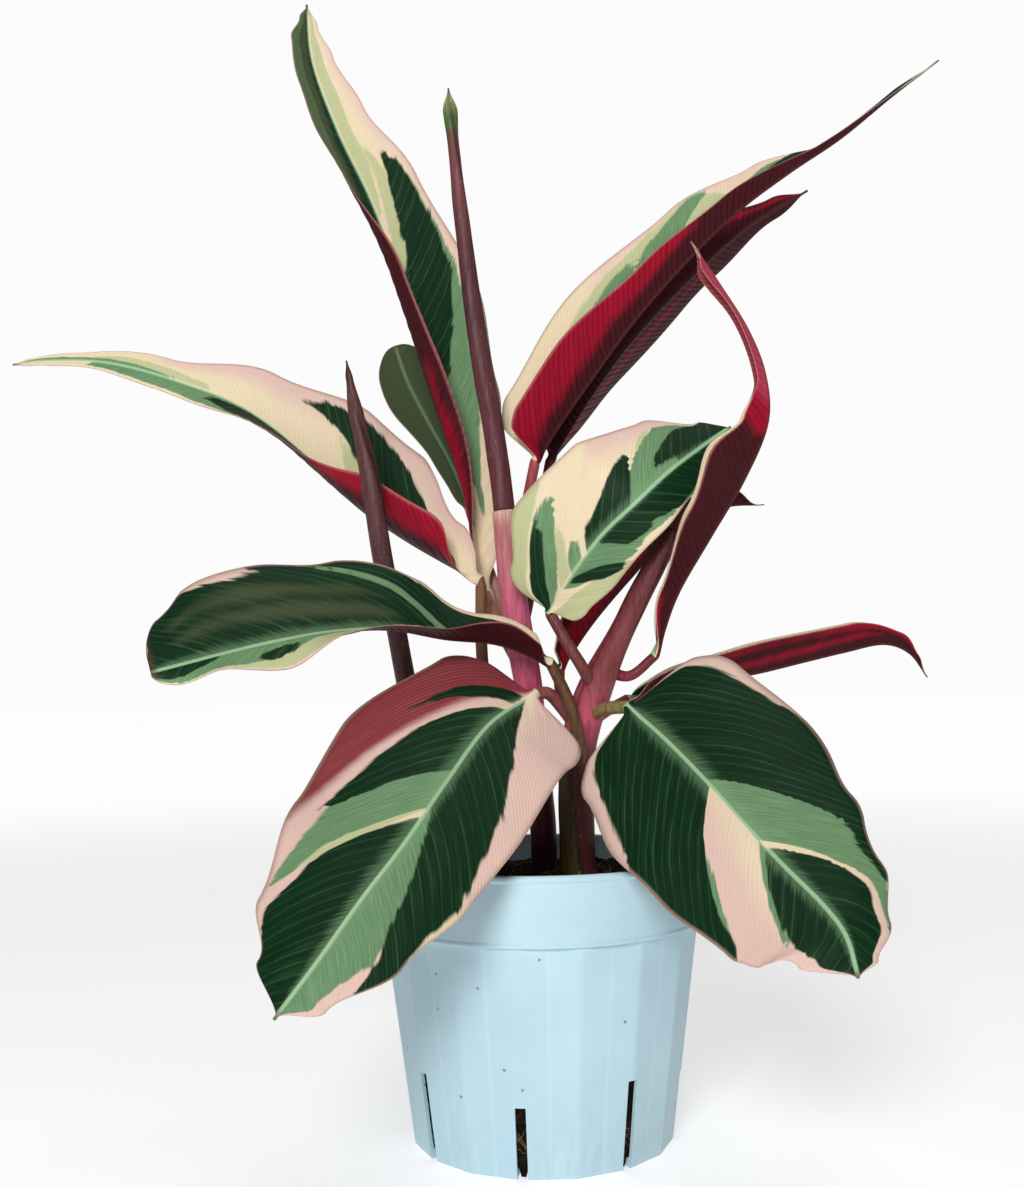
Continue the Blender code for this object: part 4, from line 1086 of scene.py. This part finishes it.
def peat():
    shade = Shade("peat", Roughness=0.92, Specular_IOR_Level=0.1)
    place = shade.place()
    lumps = shade.noise(place, 260.0, 6.0, 0.7)
    broad = shade.noise(place, 45.0, 3.0)
    base = shade.blend(lumps.ramp(0.4, 0.75), (0.006, 0.004, 0.003), (0.050, 0.028, 0.016))
    base = shade.blend(broad.ramp(0.5, 0.7) * 0.5, base, (0.030, 0.016, 0.009))
    shade.link(Base_Color=base, Roughness=0.8 + lumps * 0.2)
    shade.bump(lumps, 0.9, 0.0012)
    return shade.material


def fibreSkin():
    shade = Shade("rootFibre", Roughness=0.8)
    tint = shade.noise(shade.place(), 120.0, 2.0)
    base = shade.blend(tint.ramp(0.35, 0.65), (0.055, 0.028, 0.014), (0.26, 0.16, 0.085))
    shade.link(Base_Color=base)
    return shade.material


def soilTop(x, y):  # height of the peat at a place
    spot = Vector((x, y, 0))
    heap = soil["heap"] * math.exp(-((x - soil["heapAt"]) ** 2 + y**2) / soil["heapSpread"])
    coarse = soil["bump"] * noise.noise(spot * soil["coarseRate"])
    fine = soil["fineBump"] * noise.fractal(spot * soil["fineRate"], 0.6, 2.0, 4)
    return soil["height"] - 0.6 + heap + coarse + fine


def makeSoil(material):  # it also fills the foot of each slot
    rings = []
    slotStart = slotAngle(0) - math.pi / 2
    period = soil["around"] // pot["slots"]
    for i in range(soil["rings"]):
        reach = soil["edge"] * max(i / (soil["rings"] - 1), 0.0004)
        rings.append([])
        for k in range(soil["around"]):
            angle = 2 * math.pi * k / soil["around"]
            x, y = reach * math.cos(angle), reach * math.sin(angle)
            rings[-1].append(Vector((x, y, soilTop(x, y) - 1.2 * smooth((reach - 50) / 6))))
    inside = math.cos(math.pi / pot["facets"])
    for i in range(soil["sideRows"] + 1):
        height = mix(soil["height"] - 4, pot["floor"] + 0.3, i / soil["sideRows"])
        if height > pot["shoulderHeight"] + 3:
            reach = soil["edge"]
        else:
            reach = (bodyRadius(height) - pot["wall"]) * inside - 0.3
        rings.append([])
        for k in range(soil["around"]):
            angle = slotStart + 2 * math.pi * k / soil["around"]
            rough = soil["sideRough"] * abs(noise.noise(polar(30, angle, height * 0.5)))
            low = soil["lug"] if i == soil["sideRows"] and min(k % period, -k % period) <= 1 else height
            rings[-1].append(polar(reach - rough, angle, low))
    rings.append([Vector((p.x * 0.8, p.y * 0.8, pot["floor"] + 0.3)) for p in rings[-1]])
    return skin("peatPlug", rings, {}, [material])


def crumbTree(material):  # crumbs scattered over a face, made real and given their material
    tree = bpy.data.node_groups.new("crumbs", "GeometryNodeTree")
    for name, way, kind in (
        ("Geometry", "INPUT", "Geometry"), ("Density", "INPUT", "Float"), ("Smallest", "INPUT", "Float"),
        ("Largest", "INPUT", "Float"), ("Seed", "INPUT", "Int"), ("Geometry", "OUTPUT", "Geometry"),
    ):
        tree.interface.new_socket(name, in_out=way, socket_type="NodeSocket" + kind)

    def add(kind, inputs=None, **settings):
        made = tree.nodes.new(kind)
        for key, value in settings.items():
            setattr(made, key, value)
        for key, value in (inputs or {}).items():
            made.inputs[key].default_value = value
        return made

    given, result = add("NodeGroupInput"), add("NodeGroupOutput")
    scatter = add("GeometryNodeDistributePointsOnFaces", distribute_method="RANDOM")
    ball = add("GeometryNodeMeshIcoSphere", {"Radius": 1.0, "Subdivisions": 2})
    dent = add("ShaderNodeTexNoise", {"Scale": 1.6})
    centred = add("ShaderNodeVectorMath", {1: (0.5, 0.5, 0.5)}, operation="SUBTRACT")
    lumpy, spread = add("GeometryNodeSetPosition"), add("GeometryNodeInstanceOnPoints")
    turn = add("FunctionNodeRandomValue", data_type="FLOAT_VECTOR")
    turn.inputs[1].default_value = (6.3, 6.3, 6.3)
    size = add("FunctionNodeRandomValue", data_type="FLOAT")
    real, paint = add("GeometryNodeRealizeInstances"), add("GeometryNodeSetMaterial", {"Material": material})
    for source, output, target, socket in (
        (given, "Geometry", scatter, "Mesh"), (given, "Density", scatter, "Density"),
        (given, "Seed", scatter, "Seed"), (given, "Seed", size, "Seed"),
        (given, "Smallest", size, 2), (given, "Largest", size, 3),
        (ball, "Mesh", lumpy, "Geometry"), (dent, "Color", centred, 0), (centred, 0, lumpy, "Offset"),
        (scatter, "Points", spread, "Points"), (lumpy, "Geometry", spread, "Instance"),
        (turn, 0, spread, "Rotation"), (size, 1, spread, "Scale"),
        (spread, "Instances", real, "Geometry"), (real, "Geometry", paint, "Geometry"),
        (paint, "Geometry", result, "Geometry"),
    ):
        tree.links.new(source.outputs[output], target.inputs[socket])
    return tree


def makeCrumbs(material):
    shape = bmesh.new()
    reach, steps = soil["edge"] - 2.5, 24
    grid = {}
    for i in range(-steps, steps + 1):
        for k in range(-steps, steps + 1):
            x, y = reach * i / steps, reach * k / steps
            if math.hypot(x, y) < reach:
                grid[i, k] = shape.verts.new((x * mm, y * mm, (soilTop(x, y) + 0.1) * mm))
    for i, k in list(grid):
        corners = [grid.get(c) for c in ((i, k), (i + 1, k), (i + 1, k + 1), (i, k + 1))]
        if all(corners):
            shape.faces.new(corners)
    piece = addShape("peatCrumbs", shape)
    tree = crumbTree(material)
    step = piece.modifiers.new("crumbs", "NODES")
    step.node_group = tree
    area = math.pi * (reach * mm) ** 2
    wanted = {
        "Density": soil["crumbs"] / area, "Smallest": soil["crumbSmall"] * mm / 2,
        "Largest": soil["crumbLarge"] * mm / 2, "Seed": soil["seed"],
    }
    for item in tree.interface.items_tree:
        if item.in_out == "INPUT" and item.name in wanted:
            step[item.identifier] = wanted[item.name]
    applyModifiers(piece)
    return piece


fibre = dict(
    points=9, step=1.3, wander=0.7, arch=(0.2, 2.2), thick=(0.10, 0.24), taper=0.6,
    slotPoints=7, slotSpan=(4, 20), slotSway=0.8, slotReach=0.16, slotDepth=2.6, slotThick=(0.10, 0.20),
)


def fibreTube(curve, points, radius):
    line = curve.splines.new("POLY")
    line.points.add(len(points) - 1)
    for i, (spot, place) in enumerate(zip(line.points, points)):
        spot.co = (*(place * mm), 1)
        spot.radius = radius * (1 - fibre["taper"] * i / len(points))


def makeFibres(material):
    draw = random.Random(soil["seed"])
    curve = bpy.data.curves.new("rootFibres", "CURVE")
    curve.dimensions = "3D"
    curve.bevel_depth = mm
    curve.bevel_resolution = 1
    curve.use_fill_caps = True
    for _ in range(soil["fibres"]):
        angle, reach = draw.uniform(0, 2 * math.pi), (soil["edge"] - 8) * math.sqrt(draw.random())
        x, y, way = reach * math.cos(angle), reach * math.sin(angle), draw.uniform(0, 2 * math.pi)
        arch, points = draw.uniform(*fibre["arch"]), []
        for i in range(fibre["points"]):
            lift = arch * math.sin(math.pi * i / (fibre["points"] - 1))
            points.append(Vector((x, y, soilTop(x, y) + lift + 0.1)))
            way += draw.uniform(-fibre["wander"], fibre["wander"])
            x, y = x + fibre["step"] * math.cos(way), y + fibre["step"] * math.sin(way)
            if math.hypot(x, y) > soil["edge"] - 2:
                way += math.pi / 2
                x, y = x * 0.95, y * 0.95
        fibreTube(curve, points, draw.uniform(*fibre["thick"]))
    for i in range(pot["slots"]):
        for _ in range(soil["slotFibres"]):
            points = []
            start, end = draw.uniform(*fibre["slotSpan"]), draw.uniform(*fibre["slotSpan"])
            for k in range(fibre["slotPoints"]):
                t = k / (fibre["slotPoints"] - 1)
                height = mix(start, end, t) + draw.uniform(-fibre["slotSway"], fibre["slotSway"])
                angle = slotAngle(i) - math.pi / 2 + (t - 0.5) * fibre["slotReach"]
                points.append(polar(bodyRadius(height) - fibre["slotDepth"], angle, height))
            fibreTube(curve, points, draw.uniform(*fibre["slotThick"]))
    holder = addPiece("rootFibres", curve)
    mesh = settled(holder)
    bpy.data.objects.remove(holder)
    mesh.materials.clear()
    mesh.materials.append(material)
    return addPiece("rootFibres", mesh)


peatSkin = peat()
keep(makeSoil(peatSkin), "soil", "soil")
keep(makeCrumbs(peatSkin), "soil")
keep(makeFibres(fibreSkin()), "soil")
print("soil made")


# Studio: pale floor, soft lights, and a camera at the photograph's angle

studio = dict(
    floorHalf=12.0, floorGlow=0.52, fillStrength=0.09, backdropStrength=0.97,
    cameraPlace=(-8.5, -482.0, 161.5), pitch=4.0, roll=0.87, lens=36 * 1300 / 1187,
)
lights = [  # name, place in metres, size, watts
    ("key", (-0.30, -1.40, 0.80), 0.5, 17.5),
    ("top", (0.15, -0.2, 1.6), 0.8, 4.5),
    ("back", (0.3, 0.8, 1.4), 1.0, 2.5),
]


def makeFloor():
    shade = Shade("paleFloor", Roughness=0.9, Emission_Strength=1.0)
    far = shade.node("VectorMath", {"operation": "LENGTH"}, {0: shade.place()}, out=1).ramp(0.2, 1.6)
    near, away = studio["floorGlow"], studio["backdropStrength"]
    shade.link(
        Base_Color=shade.blend(far, (0.72, 0.72, 0.72), (0.0, 0.0, 0.0)),
        Emission_Color=shade.blend(far, (near, near, near), (away, away, away)),
    )
    half = studio["floorHalf"]
    mesh = bpy.data.meshes.new("paleFloor")
    corners = [(-half, -half, 0), (half, -half, 0), (half, half, 0), (-half, half, 0)]
    mesh.from_pydata(corners, [], [(0, 1, 2, 3)])
    mesh.materials.append(shade.material)
    return addPiece("paleFloor", mesh)


def makeWorld():  # dim as a light, so that shapes keep their shading, and pale as a background
    world = bpy.data.worlds.new("studio")
    world.use_nodes = True
    tree = world.node_tree
    path, pale = tree.nodes.new("ShaderNodeLightPath"), tree.nodes.new("ShaderNodeMix")
    pale.inputs["A"].default_value = studio["fillStrength"]
    pale.inputs["B"].default_value = studio["backdropStrength"]
    tree.links.new(path.outputs["Is Camera Ray"], pale.inputs["Factor"])
    tree.links.new(pale.outputs["Result"], tree.nodes["Background"].inputs["Strength"])
    tree.nodes["Background"].inputs["Color"].default_value = (1.0, 1.0, 1.0, 1)
    return world


makeFloor()
bpy.context.scene.world = makeWorld()
bpy.context.scene.view_settings.view_transform = "Standard"

target = Vector((0.0, 0.0, 0.18))
for name, spot, size, watts in lights:
    lamp = bpy.data.lights.new(name, "AREA")
    lamp.size = size
    lamp.energy = watts
    holder = addPiece(name, lamp)
    holder.location = spot
    holder.rotation_euler = (target - Vector(spot)).to_track_quat("-Z", "Y").to_euler()

camera = bpy.data.cameras.new("camera")
camera.lens = studio["lens"]
camera.sensor_width = 36.0
holder = addPiece("camera", camera)
holder.location = Vector(studio["cameraPlace"]) * mm
pitch = math.radians(studio["pitch"])
ahead = Vector((0, math.cos(pitch), math.sin(pitch))).to_track_quat("-Z", "Y")
holder.rotation_mode = "QUATERNION"
holder.rotation_quaternion = ahead @ Quaternion((0, 0, 1), -math.radians(studio["roll"]))
bpy.context.scene.camera = holder

print("scene made")
